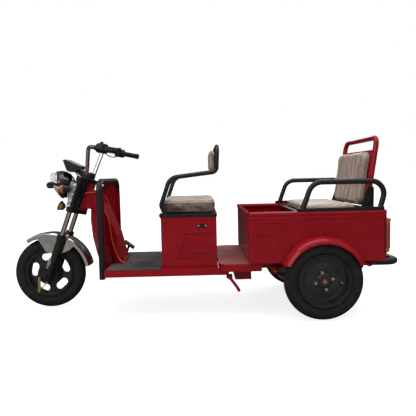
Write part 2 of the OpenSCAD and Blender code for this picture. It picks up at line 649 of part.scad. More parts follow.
// Rear bumper tube with its lugs against the rear rails
bumper_drop = 15;
bumper_z = rear_rail_top - bumper_drop;
bumper_side = 45;
bumper_half = rear_rail_y + bumper_side;
bumper_in = 74;
bumper_x = tub_end - bumper_in;
bumper_bend = 60;
module rear_bumper() color("#1b1b1b") place() {
    bent_tube(mirrored([[bumper_x, -bumper_half, bumper_z], [bumper_end - bumper_r, -bumper_half, bumper_z]]), bumper_r, [bumper_bend, bumper_bend]);
    both() block([bumper_x + bumper_r / 2, rear_rail_y + rail_w / 2 + seat_gap, rear_rail_low + 2 * bracket_t], [bumper_x + 2 * bumper_r, bumper_half, rear_rail_top - bracket_t]);
}

// Drive axle: tube, differential, motor and brake plates
axle_tube_r = 26;
axle_short = 65;
axle_half = rear_y - axle_short;
brake_plate_r = 76;
brake_plate_t = 8;
shaft_over = 12;
shaft_end = rear_y + shaft_over;
diff_r = 76;
diff_half = 42;
cone_half = 104;
motor_r = 66;
motor_ahead = 132;
motor_x = wheelbase - motor_ahead;
motor_y0 = -78;
motor_y1 = 118;
fin_count = 6;
fin_w = 6;
fin_h = 7;
module drive_axle() color("#5b5f63") place() {
    turned(wheelbase, 0, tyre_r, [[0, -shaft_end], [rear_shaft_r, -shaft_end], [rear_shaft_r, -axle_half - brake_plate_t], [brake_plate_r, -axle_half - brake_plate_t], [brake_plate_r, -axle_half],
        [axle_tube_r, -axle_half], [axle_tube_r, -cone_half], [diff_r, -diff_half], [diff_r, diff_half], [axle_tube_r, cone_half],
        [axle_tube_r, axle_half], [brake_plate_r, axle_half], [brake_plate_r, axle_half + brake_plate_t], [rear_shaft_r, axle_half + brake_plate_t], [rear_shaft_r, shaft_end], [0, shaft_end]]);
    bar_y(motor_x, tyre_r, motor_r, motor_y0, motor_y1);
    for (i = [0:fin_count - 1])
        bar_y(motor_x, tyre_r, motor_r + fin_h, diff_half + i * (motor_y1 - diff_half) / fin_count, diff_half + i * (motor_y1 - diff_half) / fin_count + fin_w);
    block([motor_x, -diff_half, tyre_r - motor_r + fin_h], [wheelbase, diff_half, tyre_r + motor_r - fin_h]);
}

// Leaf springs under the axle, with eyes, clamp plates and bolts
leaf_t = 6;
leaf_count = 4;
leaf_steps = 12;
leaf_top = tyre_r - axle_tube_r - seat_gap;
leaf_sag = eye_z - eye_r - leaf_top + leaf_t;
leaf_shares = [1, 0.74, 0.5, 0.3];
clamp_half = 44;
clamp_bolt = 35;
clamp_bolt_r = 5;
clamp_t = 8;
function leaf_z(x) = leaf_top + leaf_sag * pow(x / spring_half, 2);
function leaf_line(half, drop) = concat(
    [for (i = [0:leaf_steps]) let (x = half * (2 * i / leaf_steps - 1)) [wheelbase + x, leaf_z(x) - drop]],
    [for (i = [leaf_steps:-1:0]) let (x = half * (2 * i / leaf_steps - 1)) [wheelbase + x, leaf_z(x) - drop - leaf_t - cut / 10]]);
module leaf_springs() color("#2b2c2e") place() both() {
    difference() {
        union() {
            for (i = [0:leaf_count - 1]) plate(leaf_line(spring_half * leaf_shares[i], i * leaf_t), rear_rail_y, spring_w);
            for (s = [-1, 1]) bar_y(wheelbase + s * spring_half, eye_z, eye_r, rear_rail_y - spring_w / 2, rear_rail_y + spring_w / 2);
        }
        for (s = [-1, 1]) bar_y(wheelbase + s * spring_half, eye_z, eye_pin_r + run_gap, rear_rail_y - spring_w, rear_rail_y + spring_w);
    }
    block([wheelbase - clamp_half, rear_rail_y - spring_w / 2 - 2 * clamp_t, leaf_top - leaf_count * leaf_t - clamp_t], [wheelbase + clamp_half, rear_rail_y + spring_w / 2 + 2 * clamp_t, leaf_top - leaf_count * leaf_t]);
    block([wheelbase - clamp_half, rear_rail_y - spring_w / 2 - 2 * clamp_t, tyre_r + axle_tube_r + seat_gap], [wheelbase + clamp_half, rear_rail_y + spring_w / 2 + 2 * clamp_t, tyre_r + axle_tube_r + clamp_t]);
    for (x = [-clamp_bolt, clamp_bolt], y = [-spring_w / 2 - clamp_t, spring_w / 2 + clamp_t])
        translate([wheelbase + x, rear_rail_y + y, leaf_top - leaf_count * leaf_t - 2 * clamp_t]) cylinder(r = clamp_bolt_r, h = 2 * axle_tube_r + leaf_count * leaf_t + 4 * clamp_t);
}

// Parking brake lever on the left rail
lever_back = 42;
lever_x = rear_rail_x + lever_back;
lever_in = 14;
lever_y = floor_half - lever_in;
lever_r = 8;
lever_drop = 12;
lever_pivot_z = rail_low - lever_drop;
lever_reach_down = [46, -64];
lever_tip = [lever_x, lever_pivot_z] + lever_reach_down;
module parking_lever() color("#8f1520") place() mirror([0, 1, 0]) {
    block([lever_x - 2 * lever_r, lever_y - 1.5 * lever_r, lever_pivot_z - lever_r], [lever_x + 2 * lever_r, lever_y + 1.5 * lever_r, rail_low]);
    bar_y(lever_x, lever_pivot_z, 1.4 * lever_r, lever_y - 2 * lever_r, lever_y + 3.5 * lever_r);
    bent_tube([[lever_x, lever_y + 2 * lever_r, lever_pivot_z], [lever_tip[0], lever_y + 2 * lever_r, lever_tip[1]], [lever_tip[0], lever_y + 6 * lever_r, lever_tip[1]]], lever_r, [3 * lever_r]);
}

// Hinged tailgate
gate_t = 16;
gate_in = 29;
gate_half = tub_half - gate_in;
gate_gaps = [4, 8, 6];   // to the tub's end, floor and top
gate_low = tub_z + gate_gaps[1];
gate_high = tub_top - gate_gaps[2];
gate_x = tub_end - gate_gaps[0] - gate_t;
gate_pan_t = 3;
gate_edge = 26;
module tailgate() color("#a01420") place() difference() {
    union() {
        difference() {
            block([gate_x, -gate_half, gate_low], [gate_x + gate_t, gate_half, gate_high]);
            block([gate_x - cut, -gate_half + gate_edge, gate_low + gate_edge], [gate_x + gate_t - gate_pan_t, gate_half - gate_edge, gate_high - gate_edge]);
        }
        both() {
            bar_y(gate_hinge_x, gate_hinge_z, gate_barrel_r, gate_barrel_y - gate_barrel_half, gate_barrel_y + gate_barrel_half);
            block([gate_x + gate_t / 2, gate_barrel_y - gate_barrel_half, gate_hinge_z], [gate_hinge_x, gate_barrel_y + gate_barrel_half, gate_low + gate_barrel_r]);
        }
    }
    both() bar_y(gate_hinge_x, gate_hinge_z, gate_pin_r + run_gap, gate_barrel_y - gate_barrel_half - cut, gate_barrel_y + gate_barrel_half + cut);
}

// Rider's seat: hinged base with arm tubes and back hoop, cushion and back pad
lid_t = 18;
lid_z = seat_z + seat_gap;
lid_over = 2;
lid_half = seat_half - lid_over;
lid_x = seat_x - lid_over;
lid_end = seat_end + 2 * lid_over;
arm_in = 17;
arm_y = seat_half - arm_in;
// Arm tube behind and above the seat box's top front edge
arm_spots = [[28, 9.3], [2, 67], [55, 215], [305, 243], [311, 378]];
arm_line = [for (p = arm_spots) [seat_x + p[0], -arm_y, seat_z + p[1]]];
arm_bends = [36, 62, 28, 40];
back_plate_in = 2;
back_plate_x = seat_end - back_plate_in;
back_plate_t = 4;
back_ups = [273, 331];
back_low = seat_z + back_ups[0];
back_high = seat_z + back_ups[1];
module seat_frame() color("#1b1b1b") place() difference() {
    union() {
        translate([lid_x, -lid_half, lid_z]) linear_extrude(lid_t) rounded([lid_end - lid_x, 2 * lid_half], 2 * arm_r);
        bent_tube(mirrored(arm_line), arm_r, concat(arm_bends, [for (i = [3:-1:0]) arm_bends[i]]));
        block([back_plate_x, -arm_y, back_low], [back_plate_x + back_plate_t, arm_y, back_high]);
        both() {
            bar_y(lid_hinge_x, lid_hinge_z, lid_barrel_r, lid_barrel_y - lid_barrel_half, lid_barrel_y + lid_barrel_half);
            block([lid_hinge_x, lid_barrel_y - lid_barrel_half, lid_hinge_z - lid_pin_r], [lid_x + 2 * lid_t, lid_barrel_y + lid_barrel_half, lid_hinge_z + lid_pin_r]);
        }
    }
    both() bar_y(lid_hinge_x, lid_hinge_z, lid_pin_r + run_gap, lid_barrel_y - lid_barrel_half - cut, lid_barrel_y + lid_barrel_half + cut);
}
cushion_gap = 4;
cushion_half = arm_y - arm_r - cushion_gap;
cushion_round = 32;
cushion_x = seat_x - cushion_gap;
cushion_z = lid_z + lid_t + seat_gap;
module seat_cushion() color("#7a6f68") place() translate([cushion_x, -cushion_half, cushion_z])
    linear_extrude(cushion_t) rounded([seat_len + 1.5 * cushion_gap, 2 * cushion_half], cushion_round);
pad_t = 28;
pad_in = 24;
pad_half = arm_y - pad_in;
pad_round = 24;
pad_up = 248;
pad_low = seat_z + pad_up;
pad_h = 115;
module backrest_pad() color("#7a6f68") place() translate([back_plate_x - seat_gap - pad_t, -pad_half, pad_low]) rotate([90, 0, 90])
    linear_extrude(pad_t) rounded([2 * pad_half, pad_h], pad_round);

// Bench back: tube hoop on two pins, a board and a pad
back_lean = 8.5;
back_len = (back_top_z - back_r - back_pin[1]) / cos(back_lean);
back_bend = 45;
board_t = 6;
board_in = 17;
board_half = back_half - board_in;
board_low = -92;
board_high = 205;
stay_r = 8;
stay_up = 206;
module back_place() place() translate([back_pin[0], 0, back_pin[1]]) rotate([0, back_lean, 0]) children();
module bench_back_frame() color("#a01420") back_place() difference() {
    union() {
        bent_tube(mirrored([[0, -back_half, 0], [0, -back_half, back_len]]), back_r, [back_bend, back_bend]);
        both() bar_y(0, 0, back_eye_r, back_half - back_r, back_half + back_r);
        block([-board_t - stay_r / 4, -board_half, board_low], [-stay_r / 4, board_half, board_high]);
        for (z = [back_eye_r + 2 * stay_r, stay_up - 5 * stay_r]) both() block([-board_t, board_half - 2 * stay_r, z - stay_r], [-stay_r / 4, back_half, z + stay_r]);
        bar_y(0, stay_up, stay_r, -back_half, back_half);
    }
    both() bar_y(0, 0, back_pin_r + run_gap, back_half - 2 * back_r, back_half + 2 * back_r);
}
back_pad_t = 34;
back_pad_in = 19;
back_pad_half = back_half - back_pad_in;
back_pad_low = -96;
back_pad_high = 208;
module bench_back_pad() color("#7a6f68") back_place() translate([-board_t - stay_r / 4 - seat_gap - back_pad_t, -back_pad_half, back_pad_low]) rotate([90, 0, 90])
    linear_extrude(back_pad_t) rounded([2 * back_pad_half, back_pad_high - back_pad_low], bench_round);

// Fork: yokes on the stem, inner tubes, outer legs
yoke_low = head_low - seat_gap - yoke_t;
yoke_high = head_high + seat_gap;
bar_clamp_x = -24;
bar_clamp_lift = 5;
bar_clamp_up = yoke_high + yoke_t + bar_r + bar_clamp_lift;
bar_clamp_y = 45;
bar_clamp_half = 13;
bar_clamp_w = 17;
module yoke_outline() difference() {
    union() {
        circle(stem_boss_r);
        for (s = [-1, 1]) translate([-fork_offset, s * fork_half]) circle(leg_boss_r);
        polygon([[-fork_offset - 0.6 * leg_boss_r, -fork_half], [-fork_offset - 0.6 * leg_boss_r, fork_half], [-fork_offset + leg_boss_r, fork_half], [0.9 * stem_boss_r, stem_boss_r / 2],
            [0.9 * stem_boss_r, -stem_boss_r / 2], [-fork_offset + leg_boss_r, -fork_half]]);
    }
    for (s = [-1, 1]) translate([-fork_offset, s * fork_half]) circle(stanchion_r + run_gap);
}
module fork_yokes() color("#1d1d1f") steer() {
    for (z = [yoke_low, yoke_high]) translate([0, 0, z]) linear_extrude(yoke_t) yoke_outline();
    translate([0, 0, yoke_low]) cylinder(r = stem_r, h = yoke_high - yoke_low + yoke_t / 2);
    difference() {
        both() block([bar_clamp_x - bar_clamp_w, bar_clamp_y - bar_clamp_half, yoke_high + yoke_t - cut], [bar_clamp_x + bar_clamp_w, bar_clamp_y + bar_clamp_half, bar_clamp_up + bar_clamp_w]);
        bar_y(bar_clamp_x, bar_clamp_up, bar_r + weld_raise + run_gap, -2 * bar_clamp_y, 2 * bar_clamp_y);
    }
}
module fork_stanchions() color("#c9ccd0") steer() both()
    translate([-fork_offset, fork_half, slider_top - leg_sunk]) cylinder(r = stanchion_r, h = yoke_high + yoke_t + leg_over - slider_top + leg_sunk);
fender_lug_up = 172;
fender_lug_h = 26;
fender_half = 56;
module fork_sliders() color("#1d1d1f") steer() both() difference() {
    union() {
        translate([-fork_offset, fork_half, slider_low]) cylinder(r = slider_r, h = slider_top - slider_low);
        translate([-fork_offset, fork_half, slider_top - collar_h]) cylinder(r = collar_r, h = collar_h);
        bar_y(-fork_reach, 0, axle_boss_r, lug_in, lug_out);
        block([-fork_reach, lug_in, -axle_boss_r], [-fork_offset, lug_out, axle_boss_r]);
        block([-fork_offset - slider_r / 2, fender_half + seat_gap, fender_lug_up], [-fork_offset + slider_r / 2, fork_half, fender_lug_up + fender_lug_h]);
    }
    translate([-fork_offset, fork_half, slider_top - leg_sunk - 2 * cut]) cylinder(r = stanchion_r + run_gap, h = leg_sunk + 3 * cut);
    bar_y(-fork_reach, 0, axle_r + run_gap, lug_in - 2 * axle_boss_r, lug_out + axle_boss_r);
}
module front_axle() color("#8d9196") place() {
    bar_y(0, tyre_r, axle_r, -lug_out - seat_gap - nut_t - leg_over, lug_out + seat_gap + nut_t + leg_over);
    both() {
        bar_y(0, tyre_r, sleeve_r, front_hub_half + 2 * ear_gap, fork_half - slider_r - seat_gap);
        translate([0, lug_out + seat_gap, tyre_r]) rotate([-90, 0, 0]) cylinder(r = nut_r, h = nut_t, $fn = 6);
    }
}

// Chrome front fender: crowned arc with side skirts by the legs
fender_r = 241;
fender_x = 9;          // fender's middle behind the axle
fender_t = 2.5;
fender_lip = 26;
crown_drop = 10;
crown_dip = 3;
crown_in = 8;
fender_from = 10.5;
fender_to = 122;
// Skirt outline about the axle, a deep V beside the fork leg
skirt_line = [[-62, 219], [-36, 186], [-8, 134], [30, 118], [74, 114], [132, 138], [160, 165], [150, 190], [90, 216], [0, 232]];
module front_fender() color("#d5d8dc") place() {
    translate([fender_x, 0, tyre_r]) rotate([90, 0, 0]) rotate([0, 0, fender_from]) rotate_extrude(angle = fender_to - fender_from)
        polygon([[fender_r - fender_lip, -fender_half], [fender_r - crown_drop, -fender_half], [fender_r - crown_dip, -fender_half + crown_in], [fender_r, 0], [fender_r - crown_dip, fender_half - crown_in],
            [fender_r - crown_drop, fender_half], [fender_r - fender_lip, fender_half], [fender_r - fender_lip, fender_half - fender_t], [fender_r - crown_drop - cut, fender_half - fender_t],
            [fender_r - crown_dip - fender_t, fender_half - crown_in - cut], [fender_r - fender_t, 0], [fender_r - crown_dip - fender_t, -fender_half + crown_in + cut],
            [fender_r - crown_drop - cut, -fender_half + fender_t], [fender_r - fender_lip, -fender_half + fender_t]]);
    both() translate([0, 0, tyre_r]) plate(skirt_line, fender_half - fender_t / 2, fender_t - 2 * seat_gap);
}

// Swept-back handlebar with grips and control housings
bar_base = [axis_x(bar_clamp_up) + bar_clamp_x * cos(rake), axis_z(bar_clamp_up) - bar_clamp_x * sin(rake)];
bar_spots = [[488, -325, 889], [352, -228, 917], [296, -178, 926]];
bar_foot_y = 78;
bar_line = concat(bar_spots, [[bar_base[0], -bar_foot_y, bar_base[1]]]);
bar_bends = [40, 38, 36];
bar_dir = unit(bar_line[0] - bar_line[1]);
bar_front = unit(cross(bar_dir, [0, 0, 1]));
bar_span = norm(bar_line[0] - bar_line[1]);
grip_from_share = 0.42;
grip_r = 16;
grip_cap = 4;
housing_from_share = 0.1;
housing_to_share = 0.4;
housing_r = 26;
function on_bar(share) = bar_line[1] + bar_dir * bar_span * share;
module handlebar() color("#c9ccd0") place()
    bent_tube(mirrored(bar_line), bar_r, concat(bar_bends, [for (i = [2:-1:0]) bar_bends[i]]));
module grips() color("#161616") place() both() difference() {
    rod(on_bar(grip_from_share), bar_line[0] + bar_dir * grip_cap, grip_r);
    rod(on_bar(grip_from_share) - bar_dir, bar_line[0] + bar_dir * seat_gap, bar_r + run_gap);
}
// Control housings with hand levers and threaded mirror bosses
lever_blade_r = 5;
lever_reach = 42;
mirror_boss_r = 9;
mirror_boss_up = 34;
mirror_hole_r = 4;
mirror_hole_deep = 16;
housing_mid = on_bar((housing_from_share + housing_to_share) / 2);
module bar_controls() color("#1a1a1a") place() both() difference() {
    union() {
        rod(on_bar(housing_from_share), on_bar(housing_to_share), housing_r);
        rod(housing_mid + bar_front * grip_r, housing_mid + bar_front * (lever_reach + 1.6 * lever_blade_r), 2 * lever_blade_r);
        rod(housing_mid + bar_front * lever_reach, bar_line[0] + bar_front * lever_reach, lever_blade_r);
        translate(housing_mid) cylinder(r = mirror_boss_r, h = mirror_boss_up);
    }
    rod(on_bar(housing_from_share) - bar_dir, on_bar(housing_to_share) + bar_dir, bar_r + run_gap);
    translate(housing_mid + [0, 0, mirror_boss_up - mirror_hole_deep]) cylinder(r = mirror_hole_r, h = mirror_hole_deep + cut);
}

// Headlamp, its brackets on the fork legs, meter, horn and turn signals
lamp_x = 84;
lamp_z = 721;
lamp_tilt = -8;
lamp_r = 77;
lamp_deep = 80;
lens_deep = 50;
lamp_boss_r = 19;
lamp_strap_half = 11;
lamp_boss_x = 56;
lamp_ear_y = 84;
lamp_ear_t = 4;
// Columns: share of the lamp's radius, share of its depth
lamp_shares = [[1, 0], [1.03, 0.06], [1.03, 0.24], [0.94, 0.5], [0.72, 0.78], [0.42, 0.95], [0.2, 1]];
lens_shares = [[0.98, 0.3], [0.93, 0.6], [0.79, 0.82], [0.5, 0.95], [0.15, 1], [0, 1]];
module lamp_turn() place() translate([lamp_x, 0, lamp_z]) rotate([0, lamp_tilt - 90, 0]) rotate_extrude() children();
module headlamp_shell() color("#161616") {
    lamp_turn() polygon(concat([[0, 0]], [for (s = lamp_shares) [s[0] * lamp_r, -s[1] * lamp_deep]], [[0, -lamp_deep]]));
    place() both() {
        bar_y(lamp_boss_x, lamp_z, lamp_boss_r, lamp_r - cut, lamp_ear_y - seat_gap);
        block([lamp_boss_x, lamp_r - cut, lamp_z - lamp_strap_half], [lamp_x + lamp_deep / 3, lamp_ear_y - seat_gap, lamp_z + lamp_strap_half]);
        bar_y(lamp_x + lamp_deep / 4, lamp_z, lamp_strap_half, 0.8 * lamp_r, lamp_ear_y - seat_gap);
    }
}
module headlamp_lens() color("#dfe6ea") lamp_turn()
    polygon(concat([[0, seat_gap], [0.98 * lamp_r, seat_gap]], [for (s = lens_shares) [s[0] * lamp_r, s[1] * lens_deep]]));
sleeve_wall_r = 20;
// Ear outline in the fork's own frame: behind the axis, up the axis
ear_line = [[-62, 446], [-62, 552], [-150, 545], [-192, 524], [-204, 503], [-192, 484], [-120, 474]];
module lamp_brackets() color("#8e9296") steer() both() {
    difference() {
        union() {
            translate([-fork_offset, fork_half, head_low]) cylinder(r = sleeve_wall_r, h = head_len);
            plate(ear_line, lamp_ear_y + lamp_ear_t / 2, lamp_ear_t);
        }
        translate([-fork_offset, fork_half, head_low - cut]) cylinder(r = stanchion_r + seat_gap, h = head_len + 2 * cut);
    }
}
meter_half = 60;
meter_line = [[117, 862], [130, 865], [214, 824], [206, 804], [158, 792], [136, 802]];
// Meter bracket outline in the fork's own frame
meter_foot_in = [38, 74];
meter_foot_line = [[-118, 620], [-110, 640], [-66, 632]];
meter_foot = concat([for (d = meter_foot_in) [-d, yoke_high + yoke_t]], meter_foot_line);
meter_foot_half = 28;
module meter() color("#1a1a1a") {
    place() plate(meter_line, 0, 2 * meter_half);
    steer() plate(meter_foot, 0, 2 * meter_foot_half);
}
turn_at = [138, 131, 699];
turn_lens_t = 20;
turn_body_len = 34;
turn_r = 25;
turn_stem_r = 7;
module turn_signals() color("#161616") place() both() {
    translate(turn_at) rotate([0, 90, 0]) cylinder(r1 = turn_r, r2 = 0.62 * turn_r, h = turn_body_len);
    bar_y(turn_at.x + turn_body_len / 2, turn_at.z, turn_stem_r, lamp_ear_y + lamp_ear_t + seat_gap, turn_at.y);
}
module turn_lenses() color("#e07a1e") place() both()
    translate(turn_at - [turn_lens_t + seat_gap, 0, 0]) rotate([0, 90, 0]) cylinder(r1 = 0.8 * turn_r, r2 = turn_r, h = turn_lens_t);
horn_x = 70;
horn_z = 599;
horn_r = 31;
horn_t = 26;
horn_strap = [-112, 399];
horn_strap_half = 10;
horn_strap_t = 5;
module horn() color("#b08d3c") {
    place() translate([horn_x, 0, horn_z]) rotate([0, 90, 0]) cylinder(r = horn_r, h = horn_t);
    steer() block([horn_strap[0], -horn_strap_half, horn_strap[1] - horn_strap_t], [-fork_offset - 0.6 * leg_boss_r - seat_gap, horn_strap_half, horn_strap[1] + horn_strap_t]);
}
brake_disc_r = 60;
brake_in = 46.5;
brake_out = 57;
brake_arm_y = 71;
brake_arm_t = 6;
brake_pivot = [-44, 184];
brake_tip = [-50, 110];
brake_arm_half = 7;
brake_rod_r = 3;
brake_stop = [-4, 158];
module front_brake() color("#b08d3c") place() mirror([0, 1, 0]) {
    turned(0, 0, tyre_r, [[sleeve_r + seat_gap, brake_in], [brake_disc_r, brake_in], [brake_disc_r, brake_out - leg_over], [brake_disc_r - leg_over, brake_out], [sleeve_r + seat_gap, brake_out]]);
    plate([brake_pivot + [-brake_arm_half, brake_arm_half], brake_pivot + [brake_arm_half, brake_arm_half], brake_tip + [brake_arm_half, -brake_arm_half], brake_tip - [brake_arm_half, brake_arm_half]], brake_arm_y, brake_arm_t);
    bar_y(brake_pivot[0], brake_pivot[1], brake_arm_half, brake_out - leg_over, brake_arm_y + brake_arm_t);
    rod([brake_tip[0], brake_arm_y, brake_tip[1]], [brake_stop[0], brake_arm_y, brake_stop[1]], brake_rod_r);
    bar_y(brake_stop[0], brake_stop[1], 2 * brake_rod_r, brake_out - leg_over, brake_arm_y + brake_arm_t / 2);
}

// Wheels
flange_in = 28;
flange_out = 33;
// Columns: share of the tyre's height over the bead, share of its half width
tyre_shares = [[0.16, 0.78], [0.3, 0.97], [0.5, 1], [0.72, 0.94], [0.88, 0.76], [0.96, 0.5], [1, 0.2]];
function tyre_line(w) = concat([[bead_r, -flange_in], [rim_r + 2 * seat_gap, -flange_in]], [for (s = tyre_shares) [bead_r + s[0] * (tyre_r - bead_r), -s[1] * w / 2]],
    [for (i = [len(tyre_shares) - 1:-1:0]) let (s = tyre_shares[i]) [bead_r + s[0] * (tyre_r - bead_r), s[1] * w / 2]], [[rim_r + 2 * seat_gap, flange_in], [bead_r, flange_in]]);
barrel_r = bead_r - seat_gap;
barrel_line = [[barrel_r - rim_wall, -flange_out], [rim_r, -flange_out], [rim_r, -flange_in - seat_gap], [barrel_r, -flange_in - seat_gap], [barrel_r, flange_in + seat_gap],
    [rim_r, flange_in + seat_gap], [rim_r, flange_out], [barrel_r - rim_wall, flange_out]];
module front_tyre() color("#121212") place() turned(0, 0, tyre_r, tyre_line(front_tyre_w));
drum_r = 55;
web_half = 5;
module front_rim() color("#171717") place() difference() {
    union() {
        turned(0, 0, tyre_r, barrel_line);
        turned(0, 0, tyre_r, [[0, -front_hub_half], [drum_r, -front_hub_half], [drum_r, -web_half], [barrel_r - rim_wall / 2, -web_half], [barrel_r - rim_wall / 2, web_half],
            [drum_r, web_half], [front_hub_r, 3 * web_half], [front_hub_r, front_hub_half], [0, front_hub_half]]);
    }
    bar_y(0, tyre_r, axle_r + run_gap, -2 * front_hub_half, 2 * front_hub_half);
    for (i = [0:window_count - 1]) translate([0, 0, tyre_r]) rotate([0, window_phase + i * 360 / window_count, 0]) {
        for (z = [-window_half, window_half]) bar_y(window_place, z, window_r, -2 * web_half, 2 * web_half);
        block([window_place - window_r, -2 * web_half, -window_half], [window_place + window_r, 2 * web_half, window_half]);
    }
}
module rear_tyre() translate([0, rear_y, 0]) turned(wheelbase, 0, tyre_r, tyre_line(rear_tyre_w));
module rear_tyre_left() color("#121212") place() mirror([0, 1, 0]) rear_tyre();
module rear_tyre_right() color("#121212") place() rear_tyre();
rear_drum_r = 74;
rear_drum_in = -53;
cap_out = 20;
centre_nut_r = 12;
stud_phase = -13;
disc_face = [[30, 6], [62, 12], [66, 12], [98, 4]];
disc_back = [[97, -1], [65, 7], [62, 7], [30, 1]];
disc_r = barrel_r - rim_wall / 2;
rear_disc = concat(disc_face, [[disc_r, disc_face[3][1]], [disc_r, disc_back[0][1]]], disc_back);
drum_face_r = 60;
cap_r = 36;
cap_face_r = 28;
stud_base = 7;
module rear_rim() translate([wheelbase, rear_y, tyre_r]) difference() {
    union() {
        turned(0, 0, 0, barrel_line);
        turned(0, 0, 0, rear_disc);
        turned(0, 0, 0, [[0, rear_drum_in], [rear_drum_r, rear_drum_in], [rear_drum_r, -cap_out], [drum_face_r, -cap_out / 2], [cap_r, -cap_out / 2], [cap_r, cap_out / 2], [cap_face_r, cap_out], [0, cap_out]]);
        translate([0, cap_out, 0]) rotate([-90, 0, 0]) cylinder(r = centre_nut_r, h = centre_nut_r, $fn = 6);
        for (i = [0:stud_count - 1]) rotate([0, stud_phase + i * 360 / stud_count, 0]) translate([stud_circle_r, stud_base, 0]) rotate([-90, 0, 0]) cylinder(r = stud_nut_r, h = 2 * stud_nut_r, $fn = 6);
    }
    bar_y(0, 0, rear_shaft_r + run_gap, rear_drum_in - cut, shaft_end - rear_y + seat_gap);
}
module rear_rim_left() color("#171717") place() mirror([0, 1, 0]) rear_rim();
module rear_rim_right() color("#171717") place() rear_rim();

frame();
shield_hoop();
leg_shield();
spine_cover();
floor_pan();
floor_mat();
brake_pedal();
brake_cable();
seat_box();
battery_pack();
rear_platform();
tub_floor();
tub_side_left();
tub_side_right();
tub_front();
hand_rails();
bench_pan();
bench_cushion();
tail_lamps();
tail_lenses();
rear_bumper();
drive_axle();
leaf_springs();
parking_lever();
tailgate();
seat_frame();
seat_cushion();
backrest_pad();
bench_back_frame();
bench_back_pad();
fork_yokes();
fork_stanchions();
fork_sliders();
front_fender();
front_axle();
handlebar();
grips();
bar_controls();
headlamp_shell();
headlamp_lens();
lamp_brackets();
meter();
turn_signals();
turn_lenses();
horn();
front_brake();
front_tyre();
front_rim();
rear_tyre_left();
rear_rim_left();
rear_tyre_right();
rear_rim_right();
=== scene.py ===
# Electric cargo tricycle, dressed around its CAD frame.
# Metres, +X to the rear, +Y to the rider's right, +Z up, ground at z = 0.
import math

import bmesh
import bpy
import mathutils.noise
from mathutils import Matrix, Vector


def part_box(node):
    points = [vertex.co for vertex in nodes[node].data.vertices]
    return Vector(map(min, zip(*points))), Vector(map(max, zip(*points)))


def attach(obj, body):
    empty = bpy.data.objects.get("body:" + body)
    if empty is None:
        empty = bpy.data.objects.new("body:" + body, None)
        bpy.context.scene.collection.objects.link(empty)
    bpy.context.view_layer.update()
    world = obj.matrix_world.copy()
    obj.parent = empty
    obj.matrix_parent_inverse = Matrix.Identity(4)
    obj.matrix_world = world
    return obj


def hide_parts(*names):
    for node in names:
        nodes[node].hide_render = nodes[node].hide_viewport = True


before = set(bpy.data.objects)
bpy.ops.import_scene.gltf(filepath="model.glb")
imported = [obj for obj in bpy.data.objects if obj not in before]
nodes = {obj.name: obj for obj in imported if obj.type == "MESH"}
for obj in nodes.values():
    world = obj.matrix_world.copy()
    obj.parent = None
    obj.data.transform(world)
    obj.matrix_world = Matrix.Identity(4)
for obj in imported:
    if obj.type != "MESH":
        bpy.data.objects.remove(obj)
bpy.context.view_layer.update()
bpy.ops.object.select_all(action="DESELECT")

# Studio: a pale seamless floor, a broad soft lamp overhead, softer ones from the camera's side and from behind,
# and a plain room that is white to the camera and darker in reflections from behind the vehicle.
# The camera stands left of the vehicle at about chest height.
scene = bpy.context.scene
scene.view_settings.view_transform = "Standard"
cam_spot, cam_yaw, cam_pitch, cam_roll = (0.0192, -2.5776, 0.760), 0.768, 4.337, -1.259
cam = bpy.data.cameras.new("studio_camera")
cam.sensor_width, cam.lens = 36, 37.9
eye = bpy.data.objects.new("studio_camera", cam)
scene.collection.objects.link(eye)
eye.matrix_world = (Matrix.Translation(cam_spot) @ Matrix.Rotation(math.radians(-cam_yaw), 4, "Z")
                    @ Matrix.Rotation(math.radians(90 - cam_pitch), 4, "X")
                    @ Matrix.Rotation(math.radians(cam_roll), 4, "Z"))
scene.camera = eye


def lamp(name, spot, aim, size, watts, tone):
    data = bpy.data.lights.new(name, "AREA")
    data.shape, data.size, data.size_y = "RECTANGLE", size[0], size[1]
    data.energy, data.color = watts, tone
    obj = bpy.data.objects.new(name, data)
    scene.collection.objects.link(obj)
    obj.location = spot
    obj.rotation_euler = (Vector(aim) - Vector(spot)).to_track_quat("-Z", "Y").to_euler()


lamp("lamp_overhead", (0.2, -0.6, 3.4), aim=(0, 0, 0.3), size=(3.6, 2.2), watts=62, tone=(1.0, 0.98, 0.95))
lamp("lamp_side", (-1.8, -3.4, 2.0), aim=(0, 0, 0.4), size=(1.6, 1.6), watts=34, tone=(1.0, 0.99, 0.98))
lamp("lamp_back", (1.6, 2.8, 2.2), aim=(0, 0, 0.5), size=(2.0, 1.4), watts=30, tone=(0.97, 0.98, 1.0))


def feed(tree, part, socket):
    """Links an output to a socket, or sets the socket to a plain value."""
    if hasattr(part, "is_linked"):
        tree.links.new(part, socket)
    else:
        socket.default_value = part


def spread(tree, value, low, high, to_low=0.0, to_high=1.0):
    node = tree.nodes.new("ShaderNodeMapRange")
    for socket, part in zip(node.inputs, (value, low, high, to_low, to_high)):
        feed(tree, part, socket)
    return node.outputs["Result"]


def times(tree, one, two, how="MULTIPLY"):
    """The product of two values, or what else is done with them."""
    node = tree.nodes.new("ShaderNodeMath")
    node.operation = how
    feed(tree, one, node.inputs[0])
    feed(tree, two, node.inputs[1])
    return node.outputs[0]


def tint(tree, mask, under, over):
    """A colour that goes from under to over with the mask."""
    node = tree.nodes.new("ShaderNodeMix")
    node.data_type = "RGBA"
    feed(tree, mask, node.inputs["Factor"])
    for title, part in (("A", under), ("B", over)):
        feed(tree, (*part, 1) if isinstance(part, tuple) else part, node.inputs[title])
    return node.outputs["Result"]


def here(tree, space="Object", stretch=None):
    """The shaded point's place, scaled by stretch where that is given."""
    place = tree.nodes.new("ShaderNodeTexCoord").outputs[space]
    if stretch:
        turn = tree.nodes.new("ShaderNodeMapping")
        turn.inputs["Scale"].default_value = stretch
        tree.links.new(place, turn.inputs["Vector"])
        place = turn.outputs["Vector"]
    return place


